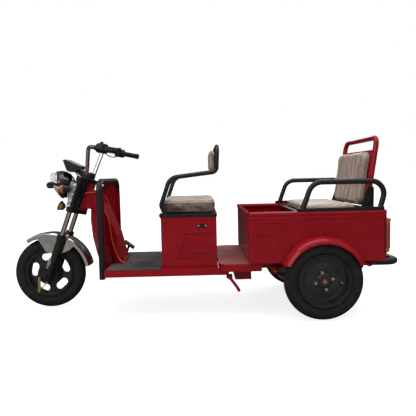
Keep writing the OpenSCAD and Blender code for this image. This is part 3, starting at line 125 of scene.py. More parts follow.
def along(tree, place, letter):
    split = tree.nodes.new("ShaderNodeSeparateXYZ")
    tree.links.new(place, split.inputs[0])
    return split.outputs[letter]


def seen_rays(tree):
    """1 for rays from the camera, also through glass, so that only the background turns white."""
    rays = tree.nodes.new("ShaderNodeLightPath")
    return times(tree, rays.outputs["Is Camera Ray"], rays.outputs["Is Transmission Ray"], "MAXIMUM")


def mirrored(tree, share):
    """The given share for rays from a shiny surface, 0 for all others."""
    return times(tree, tree.nodes.new("ShaderNodeLightPath").outputs["Is Glossy Ray"], share)


def new_finish(name, **plain):
    finish = bpy.data.materials.new(name)
    finish.use_nodes = True
    shader = finish.node_tree.nodes["Principled BSDF"]
    for title, value in plain.items():
        shader.inputs[title.replace("_", " ")].default_value = value
    return finish, finish.node_tree, shader


room = bpy.data.worlds.new("studio_room")
room.use_nodes = True
scene.world = room
tree = room.node_tree
back = tree.nodes["Background"]
back.inputs["Color"].default_value = (0.95, 0.96, 1.0, 1)
seen = tree.nodes.new("ShaderNodeBackground")
seen.inputs["Color"].default_value = (1, 1, 1, 1)
sky = here(tree, "Generated")
ceiling = spread(tree, along(tree, sky, "Z"), 0.05, 0.75, 0.16, 0.95)
behind = spread(tree, along(tree, sky, "Y"), -0.2, 0.6, 0.0, 0.8)
kept = times(tree, 1.0, mirrored(tree, behind), "SUBTRACT")
tree.links.new(times(tree, ceiling, kept), back.inputs["Strength"])
pick = tree.nodes.new("ShaderNodeMixShader")
for k, part in enumerate((seen_rays(tree), back.outputs[0], seen.outputs[0])):
    tree.links.new(part, pick.inputs[k])
tree.links.new(pick.outputs[0], tree.nodes["World Output"].inputs["Surface"])

floor_drop = 0.0008
bpy.ops.mesh.primitive_plane_add(size=60, location=(0, 0, -floor_drop))
floor = bpy.context.active_object
floor.name = "studio_floor"
white, tree, sweep = new_finish("studio_white", Roughness=0.9, Specular_IOR_Level=0.1)
behind = spread(tree, along(tree, here(tree), "Y"), -1.0, 0.6, 0.35, 1.0)
dim = tint(tree, mirrored(tree, behind), (0.42, 0.41, 0.40), (0.03, 0.03, 0.03))
tree.links.new(dim, sweep.inputs["Base Color"])
away = tree.nodes.new("ShaderNodeVectorMath")
away.operation = "LENGTH"
tree.links.new(here(tree), away.inputs[0])
fade = spread(tree, away.outputs["Value"], 0.7, 2.4, 0.80, 1.0)
glow = tree.nodes.new("ShaderNodeEmission")
tree.links.new(times(tree, seen_rays(tree), fade), glow.inputs["Strength"])
add = tree.nodes.new("ShaderNodeAddShader")
tree.links.new(sweep.outputs[0], add.inputs[0])
tree.links.new(glow.outputs[0], add.inputs[1])
tree.links.new(add.outputs[0], tree.nodes["Material Output"].inputs["Surface"])
floor.data.materials.append(white)
bpy.ops.object.select_all(action="DESELECT")


# Red body paint: thick glossy enamel sprayed over pressed sheet and welded tube. It rounds off the
# sheet edges, has a faint orange peel, thins where edges are rubbed and holds a little dust on top.
# Groups shared by most finishes are made here, where they are first needed.
def new_group(name, ins, outs):
    """An empty node group with number inputs and their defaults, and outputs of the given kinds."""
    group = bpy.data.node_groups.new(name, "ShaderNodeTree")
    for title, value in ins.items():
        group.interface.new_socket(title, in_out="INPUT", socket_type="NodeSocketFloat").default_value = value
    for title, kind in outs.items():
        group.interface.new_socket(title, in_out="OUTPUT", socket_type="NodeSocket" + kind)
    return group, group.nodes.new("NodeGroupInput").outputs, group.nodes.new("NodeGroupOutput").inputs


def texture(tree, kind, place, **values):
    node = tree.nodes.new("ShaderNodeTex" + kind)
    tree.links.new(place, node.inputs["Vector"])
    for title, value in values.items():
        feed(tree, value, node.inputs[title.replace("_", " ")])
    return node


def noise(tree, scale, detail, stretch=None):
    return texture(tree, "Noise", here(tree, stretch=stretch), Scale=scale, Detail=detail).outputs["Fac"]


# rounded_edge: softens sharp sheet edges and marks where they are rubbed
rounded_edge, knob, out = new_group("rounded_edge", dict(Radius=0.002, Rub=0.5), dict(Normal="Vector", Worn="Float"))
tree = rounded_edge
soft = tree.nodes.new("ShaderNodeBevel")
soft.samples = 4
tree.links.new(knob["Radius"], soft.inputs["Radius"])
hard = tree.nodes.new("ShaderNodeNewGeometry")
dot = tree.nodes.new("ShaderNodeVectorMath")
dot.operation = "DOT_PRODUCT"
tree.links.new(soft.outputs["Normal"], dot.inputs[0])
tree.links.new(hard.outputs["Normal"], dot.inputs[1])
bend = spread(tree, dot.outputs["Value"], 0.99, 0.8)
patch = spread(tree, noise(tree, 42.0, 4.0), 0.46, 0.66)
rubbed = times(tree, times(tree, bend, patch), knob["Rub"])
tree.links.new(soft.outputs["Normal"], out["Normal"])
tree.links.new(rubbed, out["Worn"])

# Mask of faces that look up, in drifts: settled dust in most finishes, painted top light on the leatherette
dust_and_top_light, knob, out = new_group("dust_and_top_light", dict(Amount=0.3, Scale=9.0), dict(Mask="Float"))
tree = dust_and_top_light
hard = tree.nodes.new("ShaderNodeNewGeometry")
upward = spread(tree, along(tree, hard.outputs["Normal"], "Z"), 0.25, 0.95)
drift = spread(tree, noise(tree, knob["Scale"], 6.0), 0.38, 0.72, 0.15, 1.0)
tree.links.new(times(tree, times(tree, upward, drift), knob["Amount"]), out["Mask"])

# mottle: slow uneven change between two values, such as gloss
mottle, knob, out = new_group("mottle", dict(Scale=14.0, Low=0.2, High=0.4), dict(Value="Float", Fac="Float"))
tree = mottle
cloud = noise(tree, knob["Scale"], 5.0)
tree.links.new(spread(tree, cloud, 0.3, 0.7, knob["Low"], knob["High"]), out["Value"])
tree.links.new(cloud, out["Fac"])


def use(tree, group, **values):
    """The outputs of a shared group, set to the given values."""
    node = tree.nodes.new("ShaderNodeGroup")
    node.node_tree = group
    for title, value in values.items():
        node.inputs[title].default_value = value
    return node.outputs


def surface(tree, shader, colour, rough, normal=None, relief=None, strength=0.0, depth=0.0):
    """Joins colour, roughness and a fine relief over the normal to a finish's shader."""
    tree.links.new(colour, shader.inputs["Base Color"])
    tree.links.new(rough, shader.inputs["Roughness"])
    if relief is not None:
        bump = tree.nodes.new("ShaderNodeBump")
        bump.inputs["Strength"].default_value = strength
        bump.inputs["Distance"].default_value = depth
        tree.links.new(relief, bump.inputs["Height"])
        if normal is not None:
            tree.links.new(normal, bump.inputs["Normal"])
        normal = bump.outputs[0]
    tree.links.new(normal, shader.inputs["Normal"])


dust_grey = (0.34, 0.31, 0.28)


def coated(name, colour, shade, worn, edge, rub, gloss, peel, dust, shine, clear=(0, 0.03)):
    """A sprayed or moulded coat: colour that drifts to shade, rubbed edges, uneven gloss, fine peel and dust."""
    finish, tree, shader = new_finish(name, Specular_IOR_Level=shine, Coat_Weight=clear[0], Coat_Roughness=clear[1])
    edges = use(tree, rounded_edge, Radius=edge, Rub=rub)
    sheen = use(tree, mottle, Scale=11.0, Low=gloss[0], High=gloss[1])
    fall = use(tree, dust_and_top_light, Amount=dust)
    body = tint(tree, spread(tree, sheen["Fac"], 0.35, 0.7), colour, shade)
    body = tint(tree, edges["Worn"], body, worn)
    body = tint(tree, fall["Mask"], body, dust_grey)
    rough = times(tree, sheen["Value"], times(tree, fall["Mask"], 0.6), "ADD")
    surface(tree, shader, body, rough, edges["Normal"], noise(tree, peel[1], 3.0), strength=peel[0], depth=0.0006)
    return finish


def dress(finish, *names):
    for name in names:
        skin = nodes[name].data.materials
        skin.clear()
        skin.append(finish)


red_paint = coated(
    "red_paint", colour=(0.29, 0.0045, 0.011), shade=(0.235, 0.003, 0.008), worn=(0.16, 0.02, 0.02), edge=0.0025,
    rub=0.4, gloss=(0.2, 0.3), peel=(0.05, 260.0), dust=0.03, shine=0.08, clear=(0.25, 0.04))
dress(red_paint, "frame", "leg_shield", "spine_cover", "floor_pan", "seat_box", "tub_floor", "tub_side_left",
      "tub_side_right", "tub_front", "tailgate", "bench_back_frame", "parking_lever")

# Black stove enamel on the bent tubes, fork legs, seat base and wheels: satin, a little uneven,
# worn to bare grey where hands and boots rub it. The wheels' coat is shinier.
bare_grey = (0.10, 0.10, 0.105)
black_enamel = coated(
    "black_enamel", colour=(0.009, 0.009, 0.0095), shade=(0.014, 0.0135, 0.0135), worn=bare_grey, edge=0.002,
    rub=0.5, gloss=(0.3, 0.45), peel=(0.06, 320.0), dust=0.05, shine=0.26, clear=(0.06, 0.2))
dress(black_enamel, "shield_hoop", "hand_rails", "bench_pan", "rear_bumper", "seat_frame", "brake_pedal", "fork_yokes",
      "fork_sliders", "leaf_springs", "front_axle")
rim_black = coated(
    "rim_black", colour=(0.011, 0.0105, 0.010), shade=(0.017, 0.016, 0.015), worn=bare_grey, edge=0.002, rub=0.6,
    gloss=(0.2, 0.34), peel=(0.08, 320.0), dust=0.04, shine=0.5, clear=(0.15, 0.12))
dress(rim_black, "front_rim", "rear_rim_left", "rear_rim_right")

# Moulded black plastic of the meter, switch housings and lamp bases: fine-grained and dull.
# The lamp bucket is sprayed gloss black.
black_moulding = coated(
    "black_moulding", colour=(0.010, 0.010, 0.011), shade=(0.016, 0.016, 0.017), worn=(0.07, 0.07, 0.07),
    edge=0.0025, rub=0.4, gloss=(0.42, 0.58), peel=(0.22, 900.0), dust=0.04, shine=0.25)
dress(black_moulding, "bar_controls", "meter", "turn_signals", "tail_lamps", "battery_pack")
gloss_black = coated(
    "gloss_black", colour=(0.004, 0.004, 0.0045), shade=(0.006, 0.006, 0.0065), worn=(0.05, 0.05, 0.05), edge=0.002,
    rub=0.3, gloss=(0.12, 0.2), peel=(0.04, 300.0), dust=0.02, shine=0.4, clear=(0.3, 0.06))
dress(gloss_black, "headlamp_shell")

# Bright metal: chrome on the handlebar, fork tubes and front fender, slightly hazed, with a warm tint and darker spots
# that are painted reflection.
# Its plating follows the rounded edges of the tube and the pressed sheet below it.
chrome, tree, shader = new_finish("chrome", Metallic=1.0)
haze_and_painted_reflection = use(tree, mottle, Scale=30.0, Low=0.09, High=0.22)
edges = use(tree, rounded_edge, Radius=0.0015, Rub=0.0)
# The warm plating colour goes darker in patches: painted reflection.
film = tint(tree, spread(tree, haze_and_painted_reflection["Fac"], 0.5, 0.75), (0.54, 0.515, 0.47), (0.40, 0.375, 0.335))
surface(tree, shader, film, haze_and_painted_reflection["Value"], edges["Normal"])
dress(chrome, "handlebar", "fork_stanchions", "front_fender")


# Other metal: silver-grey paint on the lamp brackets, cast grey on the drive axle,
# dull plated pins, gold-plated fittings and coppery nuts.
def bare_metal(name, colour, stain, gloss, grain, metal=1.0):
    """Unpainted or plated metal: colour stained in patches, with a fine cast or drawn grain."""
    finish, tree, shader = new_finish(name, Metallic=metal)
    patch = use(tree, mottle, Scale=38.0, Low=gloss[0], High=gloss[1])
    edges = use(tree, rounded_edge, Radius=0.0015, Rub=0.4)
    body = tint(tree, spread(tree, patch["Fac"], 0.42, 0.68), colour, stain)
    body = tint(tree, edges["Worn"], body, tuple(min(1, 1.5 * c + 0.1) for c in colour))
    surface(tree, shader, body, patch["Value"], edges["Normal"], noise(tree, grain[1], 4.0),
            strength=grain[0], depth=0.0008)
    return finish


grey_cast = bare_metal(
    "grey_cast", (0.30, 0.31, 0.32), stain=(0.20, 0.20, 0.20), gloss=(0.4, 0.6), grain=(0.25, 380.0), metal=0.7)
silver_paint = bare_metal(
    "silver_paint", (0.42, 0.43, 0.44), stain=(0.34, 0.34, 0.35), gloss=(0.3, 0.42), grain=(0.08, 500.0), metal=0.8)
plated = (0.1, 420.0)
pin_steel = bare_metal("pin_steel", (0.46, 0.46, 0.46), stain=(0.30, 0.28, 0.26), gloss=(0.28, 0.45), grain=plated)
gold_plate = bare_metal("gold_plate", (0.62, 0.43, 0.14), stain=(0.42, 0.30, 0.12), gloss=(0.25, 0.4), grain=plated)
copper_nut = bare_metal("copper_nut", (0.62, 0.27, 0.12), stain=(0.38, 0.17, 0.09), gloss=(0.25, 0.4), grain=plated)
dress(silver_paint, "lamp_brackets")
dress(grey_cast, "drive_axle")
dress(gold_plate, "horn", "front_brake")

# Rubber of the tyres and grips: grey-black and chalky, with dust in the hollows.
# The mat is dressed with it too, below the ribbed sheet that stands for it.
rubber, tree, shader = new_finish("rubber", Specular_IOR_Level=0.16)
bloom = use(tree, mottle, Scale=24.0, Low=0.62, High=0.82)
fall = use(tree, dust_and_top_light, Amount=0.12, Scale=30.0)
body = tint(tree, spread(tree, bloom["Fac"], 0.4, 0.7), (0.013, 0.013, 0.0125), (0.022, 0.021, 0.020))
body = tint(tree, fall["Mask"], body, (0.09, 0.08, 0.07))
surface(tree, shader, body, bloom["Value"], relief=noise(tree, 900.0, 3.0), strength=0.2, depth=0.0005)
dress(rubber, "floor_mat", "grips", "front_tyre", "rear_tyre_left", "rear_tyre_right")

# Rear foot platform: brownish red coat over a fine pressed tread, scuffed by boots.
# The tread's waves run across the sheet at an angle.
platform_coat, tree, shader = new_finish("platform_coat", Specular_IOR_Level=0.4)
scuff = use(tree, mottle, Scale=16.0, Low=0.42, High=0.66)
edges = use(tree, rounded_edge, Radius=0.004, Rub=0.5)
fall = use(tree, dust_and_top_light, Amount=0.3)
body = tint(tree, spread(tree, scuff["Fac"], 0.4, 0.68), (0.30, 0.060, 0.055), (0.26, 0.095, 0.085))
body = tint(tree, fall["Mask"], body, (0.27, 0.17, 0.14))
waffle = texture(tree, "Wave", here(tree), Scale=60.0)
waffle.bands_direction = "DIAGONAL"
surface(tree, shader, body, scuff["Value"], edges["Normal"], waffle.outputs["Fac"], strength=0.5, depth=0.0012)
dress(platform_coat, "rear_platform")


# Lamp lenses: moulded acrylic, clear for the headlamp, orange for the turn signals and red for the tail lamps.
# A fine prism pattern is moulded across each.
def tinted_lens(name, colour, gloss, thick):
    finish, tree, shader = new_finish(name, Specular_IOR_Level=0.6, Transmission_Weight=thick, IOR=1.49,
                                      Coat_Weight=0.5, Coat_Roughness=0.03)
    film = use(tree, mottle, Scale=50.0, Low=gloss[0], High=gloss[1])
    body = tint(tree, spread(tree, film["Fac"], 0.4, 0.7), colour, tuple(0.8 * c for c in colour))
    prism = texture(tree, "Wave", here(tree), Scale=70.0)
    prism.bands_direction = "Z"
    surface(tree, shader, body, film["Value"], relief=prism.outputs["Fac"], strength=0.35, depth=0.001)
    return finish


clear_lens = tinted_lens("clear_lens", (0.82, 0.84, 0.86), gloss=(0.05, 0.12), thick=0.3)
orange_lens = tinted_lens("orange_lens", (0.52, 0.12, 0.008), gloss=(0.08, 0.16), thick=0.15)
red_lens = tinted_lens("red_lens", (0.40, 0.022, 0.014), gloss=(0.08, 0.16), thick=0.15)
dress(clear_lens, "headlamp_lens")
dress(orange_lens, "turn_lenses")
dress(red_lens, "tail_lenses")

# Brake cable: a steel wire in an orange plastic jacket. It leaves the head tube, passes through the
# shield's notch and hangs beside the spine cover down to the floor.
cable_jacket = coated(
    "cable_jacket", colour=(0.74, 0.085, 0.006), shade=(0.64, 0.070, 0.005), worn=(0.4, 0.10, 0.02), edge=0.001,
    rub=0.2, gloss=(0.3, 0.42), peel=(0.1, 600.0), dust=0.05, shine=0.5)
cable_route = [
    (-0.659, -0.029, 0.668), (-0.639, -0.029, 0.672), (-0.619, -0.033, 0.673), (-0.601, -0.042, 0.672),
    (-0.587, -0.052, 0.670), (-0.576, -0.068, 0.666), (-0.567, -0.086, 0.661), (-0.559, -0.092, 0.646),
    (-0.552, -0.093, 0.626), (-0.545, -0.093, 0.600), (-0.530, -0.093, 0.560), (-0.514, -0.093, 0.515),
    (-0.506, -0.093, 0.465), (-0.501, -0.093, 0.414), (-0.490, -0.093, 0.368), (-0.475, -0.094, 0.322),
    (-0.461, -0.097, 0.292), (-0.447, -0.102, 0.277), (-0.427, -0.108, 0.2725)]
cable_d = 0.007


def round_wire(name, route, diameter, finish):
    """A round wire on one smooth curve through the points of its route."""
    data = bpy.data.curves.new(name, "CURVE")
    data.dimensions, data.use_fill_caps = "3D", True
    data.bevel_depth, data.bevel_resolution, data.resolution_u = diameter / 2, 4, 8
    line = data.splines.new("BEZIER")
    line.bezier_points.add(len(route) - 1)
    for spot, place in zip(line.bezier_points, route):
        spot.co = place
        spot.handle_left_type = spot.handle_right_type = "AUTO"
    wire = bpy.data.objects.new(name, data)
    scene.collection.objects.link(wire)
    data.materials.append(finish)
    return wire


cable = round_wire("brake_cable_sheath", cable_route, cable_d, cable_jacket)
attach(cable, "chassis")
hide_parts("brake_cable")


# Small parts plated or painted apart from the piece they sit on: the front brake's black plate behind its gold arm,
# wheel nuts, hanger bolts, the lock plate, the meter's face and the platform's painted skirt.
def paint_faces(node, finish, test):
    """Gives a finish to the faces of a CAD node that pass a test of place and normal."""
    piece = nodes[node]
    if finish.name not in piece.data.materials:
        piece.data.materials.append(finish)
    index = piece.data.materials.find(finish.name)
    for face in piece.data.polygons:
        if test(face.center, face.normal):
            face.material_index = index


sides = ((-1, "left"), (1, "right"))
wheelbase, tyre_r, rear_y = 1.520, 0.205, 0.365
front_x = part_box("front_tyre")[0].x + tyre_r
axle_z = tyre_r
rear_x = front_x + wheelbase
rake = math.radians(20.5)


def off_axis(spot, x, z=axle_z):
    """Distance from an axle across at x and z."""
    return math.hypot(spot.x - x, spot.z - z)


brake_plate_y = 0.0575
paint_faces("front_brake", black_enamel, lambda at, n: abs(at.y) < brake_plate_y)
hub_in, hub_out, hub_y, nut_r, nut_y = 0.034, 0.055, rear_y + 0.0118, 0.014, rear_y + 0.019
for side, word in sides:
    paint_faces("rear_rim_" + word, silver_paint,
                lambda at, n: hub_in < off_axis(at, rear_x) < hub_out and abs(at.y) > hub_y)
    paint_faces("rear_rim_" + word, copper_nut,
                lambda at, n: off_axis(at, rear_x) < nut_r and abs(at.y) > nut_y)
spring_half, hanger_pin_r, eye_z, hanger_out = 0.227, 0.009, 0.230, 0.2335
spring_eyes = [rear_x + end * spring_half for end in (-1, 1)]
paint_faces("frame", gold_plate, lambda at, n: abs(at.y) > hanger_out
            and min(off_axis(at, x, eye_z) for x in spring_eyes) < hanger_pin_r)
lock_x, lock_z, lock_half_x, lock_half_z, box_side = front_x + 0.902, 0.489, 0.024, 0.013, -0.2352
paint_faces("seat_box", black_moulding, lambda at, n: at.y < box_side and abs(at.x - lock_x) < lock_half_x
            and abs(at.z - lock_z) < lock_half_z)
skirt_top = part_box("rear_platform")[1].z - 0.001
paint_faces("rear_platform", red_paint, lambda at, n: n.z < 0.9 or at.z < skirt_top)
meter_face = coated(
    "meter_face", colour=(0.30, 0.31, 0.32), shade=(0.24, 0.25, 0.26), worn=(0.3, 0.3, 0.3), edge=0.002, rub=0.1,
    gloss=(0.25, 0.35), peel=(0.05, 500.0), dust=0.05, shine=0.4)
paint_faces("meter", meter_face, lambda at, n: n.z > 0.7 and n.x > 0.2)


# Seat and back cushions: foam pads in a wood-grained taupe leatherette, sewn with a piped seam round the edge.
# The cover is drawn tight over the foam, puckers along its lower edge and is fixed under the seat board.
def sewn_hide(name, dark, light):
    """Leatherette printed with a wood grain between two tones, with fine pores, and paler where it faces up: painted
    top light.
    """
    finish, tree, shader = new_finish(name, Specular_IOR_Level=0.3)
    grain = texture(tree, "Wave", here(tree, stretch=(0.45, 1.0, 0.45)), Scale=4.5, Distortion=16.0, Detail=6.0,
                    Detail_Scale=1.3, Detail_Roughness=0.68)
    grain.bands_direction = "Y"
    fine = noise(tree, 60.0, 6.0, stretch=(0.5, 3.0, 0.5))
    lines = times(tree, times(tree, grain.outputs["Fac"], 0.7), times(tree, fine, 0.5), "ADD")
    streak = spread(tree, lines, 0.3, 0.95)
    body = tint(tree, streak, dark, light)
    # Faces that look up are mixed towards a pale tone: painted top light, not dust.
    body = tint(tree, use(tree, dust_and_top_light, Amount=0.5, Scale=6.0)["Mask"], body, (0.56, 0.50, 0.445))
    rough = use(tree, mottle, Scale=30.0, Low=0.42, High=0.6)["Value"]
    pores = texture(tree, "Voronoi", here(tree), Scale=520.0).outputs["Distance"]
    relief = times(tree, pores, times(tree, streak, 0.6), "ADD")
    surface(tree, shader, body, rough, relief=relief, strength=0.25, depth=0.0006)
    return finish


leatherette = sewn_hide("leatherette", dark=(0.285, 0.216, 0.178), light=(0.450, 0.366, 0.304))
# A darker copy of the leatherette for the seat cushion's sides: partly darker piping fabric, partly painted shade.
side_hide_and_shade = sewn_hide("side_hide_and_shade", dark=(0.090, 0.062, 0.046), light=(0.190, 0.142, 0.112))
bench_lean = math.radians(8.5)
up_rest, fore_rest = Vector((0, 0, 1)), Vector((-1, 0, 0))
lean_rest = Vector((-math.cos(bench_lean), 0, math.sin(bench_lean)))


def alone(piece):
    bpy.ops.object.select_all(action="DESELECT")
    piece.select_set(True)
    bpy.context.view_layer.objects.active = piece


def open_all():
    """Opens the active piece for editing, with all of it chosen."""
    bpy.ops.object.mode_set(mode="EDIT")
    bpy.ops.mesh.select_all(action="SELECT")


def blow_up(piece, cap):
    """Swells a pad like a blown bag in a short cloth run, no point further than cap."""
    pressure, steps = 4.0, 20
    cloth = piece.modifiers.new("swell", "CLOTH")
    cloth.settings.use_pressure = True
    cloth.settings.uniform_pressure_force = pressure
    cloth.settings.effector_weights.gravity = 0.0
    for step_no in range(1, steps + 1):
        scene.frame_set(step_no)
    swollen = piece.evaluated_get(bpy.context.evaluated_depsgraph_get()).data
    moved = [point.co.copy() for point in swollen.vertices]
    piece.modifiers.remove(cloth)
    for point, new in zip(piece.data.vertices, moved):
        step = new - point.co
        point.co += step * min(1.0, cap / max(step.length, 1e-6))
    scene.frame_set(1)


pad_voxel, piping_r, crease_scale, crease_share = 0.005, 0.0024, 55, 0.6


def stuffed(node, name, body, rest, trim, cap, pucker, seam_share):
    """A sewn pad in a CAD pad's place: trimmed, remeshed, blown up, set flat on its rest side, puckered and piped."""
    low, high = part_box(node)
    middle, size = (low + high) / 2, high - low
    pad = bpy.data.objects.new(name, nodes[node].data.copy())
    scene.collection.objects.link(pad)
    alone(pad)
    pad.data.materials.clear()
    bed = min(point.co.dot(rest) for point in pad.data.vertices)
    thick = max(point.co.dot(rest) for point in pad.data.vertices) - bed
    open_all()
    bpy.ops.mesh.remove_doubles(threshold=0.0001)
    bpy.ops.transform.resize(value=[(s - 2 * trim) / s for s in size], center_override=middle)
    bpy.ops.object.mode_set(mode="OBJECT")
    pad.data.remesh_voxel_size = pad_voxel
    bpy.ops.object.voxel_remesh()
    blow_up(pad, cap)
    smooth = pad.modifiers.new("skin", "SUBSURF")
    smooth.levels = smooth.render_levels = 1
    bpy.ops.object.modifier_apply(modifier=smooth.name)
    crease_top, border = crease_share * thick, 0.3 * min(size.y, max(size.x, size.z))
    for point in pad.data.vertices:
        height = point.co.dot(rest) - bed
        if height < 0:
            point.co -= rest * height
            height = 0
        out = point.co - middle
        out -= rest * out.dot(rest)
        if height < crease_top and out.length > border:
            place = Vector((point.co.x, point.co.y, 0.25 * height)) * crease_scale
            crease = mathutils.noise.noise(place) * (1 - height / crease_top)
            point.co -= out.normalized() * pucker * max(0.0, crease) * 2
    bpy.ops.object.duplicate()
    piping = bpy.context.active_object
    open_all()
    bpy.ops.mesh.bisect(plane_co=rest * (bed + seam_share * thick), plane_no=rest, clear_inner=True, clear_outer=True)
    bpy.ops.object.mode_set(mode="OBJECT")
    bpy.ops.object.convert(target="CURVE")
    piping.data.bevel_depth, piping.data.bevel_resolution = piping_r, 2
    bpy.ops.object.convert(target="MESH")
    pad.select_set(True)
    bpy.context.view_layer.objects.active = pad
    bpy.ops.object.join()
    pad.data.materials.append(leatherette)
    bpy.ops.object.shade_smooth()
    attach(pad, body)
    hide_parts(node)
    bpy.ops.object.select_all(action="DESELECT")
    return pad


seat_seam = 0.72
seat_pad = stuffed("seat_cushion", "seat_cushion_cover", "seat", up_rest, trim=0.006, cap=0.008, pucker=0.0035,
                   seam_share=seat_seam)
seat_low, seat_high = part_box("seat_cushion")
# Faces below the seam take the darker copy, which is partly painted shade.
seat_pad.data.materials.append(side_hide_and_shade)
for face in seat_pad.data.polygons:
    if face.center.z < seat_low.z + seat_seam * (seat_high.z - seat_low.z):
        face.material_index = 1
stuffed("backrest_pad", "backrest_cover", "seat", fore_rest, trim=0.004, cap=0.007, pucker=0.001,
        seam_share=0.6)
stuffed("bench_cushion", "bench_cushion_cover", "chassis", up_rest, trim=0.005, cap=0.009, pucker=0.0015,
        seam_share=0.7)
stuffed("bench_back_pad", "bench_back_cover", "bench_back", lean_rest, trim=0.005, cap=0.008, pucker=0.0015,
        seam_share=0.7)


# Tyres: moulded black rubber, crowned, with grooves round the tread, blocks on the shoulders and raised rings.
# A rounded bead sits over the rim's edge. One tyre is made for the front wheel and copied, a little wider, to the rear.
def begin(name):
    """Names the shape just added, applies its placing and opens it for editing, all chosen."""
    piece = bpy.context.active_object
    piece.name = name
    bpy.ops.object.transform_apply()
    open_all()
    return piece


def block(name, size, place):
    bpy.ops.mesh.primitive_cube_add(size=1, scale=size, location=place)
    return begin(name)


def rod(name, sides, radius, length, place, turn=(0, 0, 0)):
    """A round rod, along Z if it isn't turned, opened for editing."""
    bpy.ops.mesh.primitive_cylinder_add(vertices=sides, radius=radius, depth=length, location=place, rotation=turn)
    return begin(name)


def pull(x, y, z):
    bpy.ops.mesh.extrude_region_move(TRANSFORM_OT_translate={"value": (x, y, z)})


def select_faces(piece, test):
    """Selects faces by place and normal; the piece is in edit mode."""
    bpy.ops.mesh.select_mode(type="FACE")
    bpy.ops.mesh.select_all(action="DESELECT")
    mesh = bmesh.from_edit_mesh(piece.data)
    for face in mesh.faces:
        face.select_set(bool(test(face.calc_center_median(), face.normal)))
    bmesh.update_edit_mesh(piece.data)


def settle(piece, angle=40):
    """Back to object mode, with faces smoothed up to an angle."""
    bpy.ops.object.mode_set(mode="OBJECT")
    alone(piece)
    bpy.ops.object.shade_smooth_by_angle(angle=math.radians(angle))


def hand_over(piece, finish, body, node=None):
    """Gives a finished piece its finish if it has none, and its body, and hides the CAD node it stands for."""
    if not piece.data.materials:
        piece.data.materials.append(finish)
    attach(piece, body)
    if node:
        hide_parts(node)
    bpy.ops.object.select_all(action="DESELECT")


front_tyre_w, rear_tyre_w, carcass_r, tyre_parts, block_every = 0.074, 0.078, 0.038, 120, 3
tread_in, shoulder_in, shoulder_out, shoulder_y = 0.19, 0.1795, 0.197, 0.018
bead_r, bead_ring, bead_y = 0.0062, 0.1335, 0.0325
across = (math.pi / 2, 0, 0)
bpy.ops.mesh.primitive_torus_add(
    location=(front_x, 0, axle_z), rotation=across, major_radius=tyre_r - carcass_r, minor_radius=carcass_r,
    major_segments=tyre_parts, minor_segments=48)
tyre = begin("front_tyre_rubber")
for low_y, high_y in ((0.0, 0.0035), (0.0125, 0.0165)):
    select_faces(tyre, lambda at, n: off_axis(at, front_x) > tread_in and low_y <= abs(at.y) < high_y)
    bpy.ops.mesh.inset(thickness=0.0006, depth=-0.003)
for side, word in sides:
    select_faces(tyre, lambda at, n: side * at.y > shoulder_y
                 and shoulder_in < off_axis(at, front_x) < shoulder_out
                 and round(math.atan2(at.z - axle_z, at.x - front_x) * tyre_parts / math.tau - 0.5) % block_every == 0)
    bpy.ops.mesh.inset(thickness=0.0008, depth=-0.0028)
    for ring_in, ring_out, rise in ((0.1405, 0.1465, 0.0016), (0.1525, 0.157, 0.001)):
        select_faces(tyre, lambda at, n: side * at.y > 0.02 and ring_in < off_axis(at, front_x) < ring_out)
        bpy.ops.mesh.inset(thickness=0.0008, depth=rise)
bpy.ops.object.mode_set(mode="OBJECT")
beads = []
for side, word in sides:
    bpy.ops.mesh.primitive_torus_add(
        location=(front_x, side * bead_y, axle_z), rotation=across, major_radius=bead_ring, minor_radius=bead_r,
        major_segments=tyre_parts, minor_segments=14)
    beads.append(bpy.context.active_object)
    bpy.ops.object.transform_apply()
alone(tyre)
for bead in beads:
    bead.select_set(True)
bpy.ops.object.join()
open_all()
bpy.ops.transform.resize(value=(1, front_tyre_w / (2 * carcass_r), 1), center_override=(front_x, 0, axle_z))
settle(tyre)
hand_over(tyre, rubber, "front_wheel", "front_tyre")
for side, word in sides:
    alone(tyre)
    bpy.ops.object.duplicate()
    copy = bpy.context.active_object
    copy.name = "rear_tyre_rubber_" + word
    open_all()
    bpy.ops.transform.resize(value=(1, rear_tyre_w / front_tyre_w, 1), center_override=(front_x, 0, axle_z))
    bpy.ops.transform.translate(value=(wheelbase, side * rear_y, 0))
    bpy.ops.object.mode_set(mode="OBJECT")
    hand_over(copy, rubber, "rear_wheel_" + word, "rear_tyre_" + word)

# Tyre valves: a plated brass stem with a plastic cap, standing out of each rear rim's disc.
# The stem comes through a hole in the disc and its cap is screwed on.
valve_x, valve_y, valve_z = rear_x + 0.088, rear_y + 0.014, axle_z - 0.010
for side, word in sides:
    valve = rod("tyre_valve_" + word, 20, radius=0.0048, length=0.032, place=(valve_x, side * valve_y, valve_z),
                turn=across)
    select_faces(valve, lambda at, n: side * n.y > 0.9)
    bpy.ops.mesh.inset(thickness=0.0010, depth=0.0)
    pull(0, side * 0.005, 0)
    bpy.ops.mesh.inset(thickness=0.0010, depth=0.0012)
    settle(valve)
    hand_over(valve, pin_steel, "rear_wheel_" + word)


# Lamp brackets: a black tube over each fork leg between the yokes, with a pressed silver plate welded along its front.
# The plate has a raised border and slots, and a thin arm that carries the headlamp's bolt.
def cut_level(height):
    """Cuts the piece in edit mode across at a height, with all of it kept."""
    bpy.ops.mesh.select_all(action="SELECT")
    bpy.ops.mesh.bisect(plane_co=(0, 0, height), plane_no=(0, 0, 1))


fork_offset, fork_half, fork_reach, head_low, head_len = 0.052, 0.080, 0.065, 0.414, 0.164
fork_foot = Vector((front_x + fork_reach * math.cos(rake), 0, axle_z - fork_reach * math.sin(rake)))


def lean(piece):
    """Puts a piece modelled in the upright fork's frame onto the raked fork, and applies the turn."""
    alone(piece)
    piece.matrix_world = Matrix.Translation(fork_foot) @ Matrix.Rotation(rake, 4, "Y")
    bpy.ops.object.transform_apply()


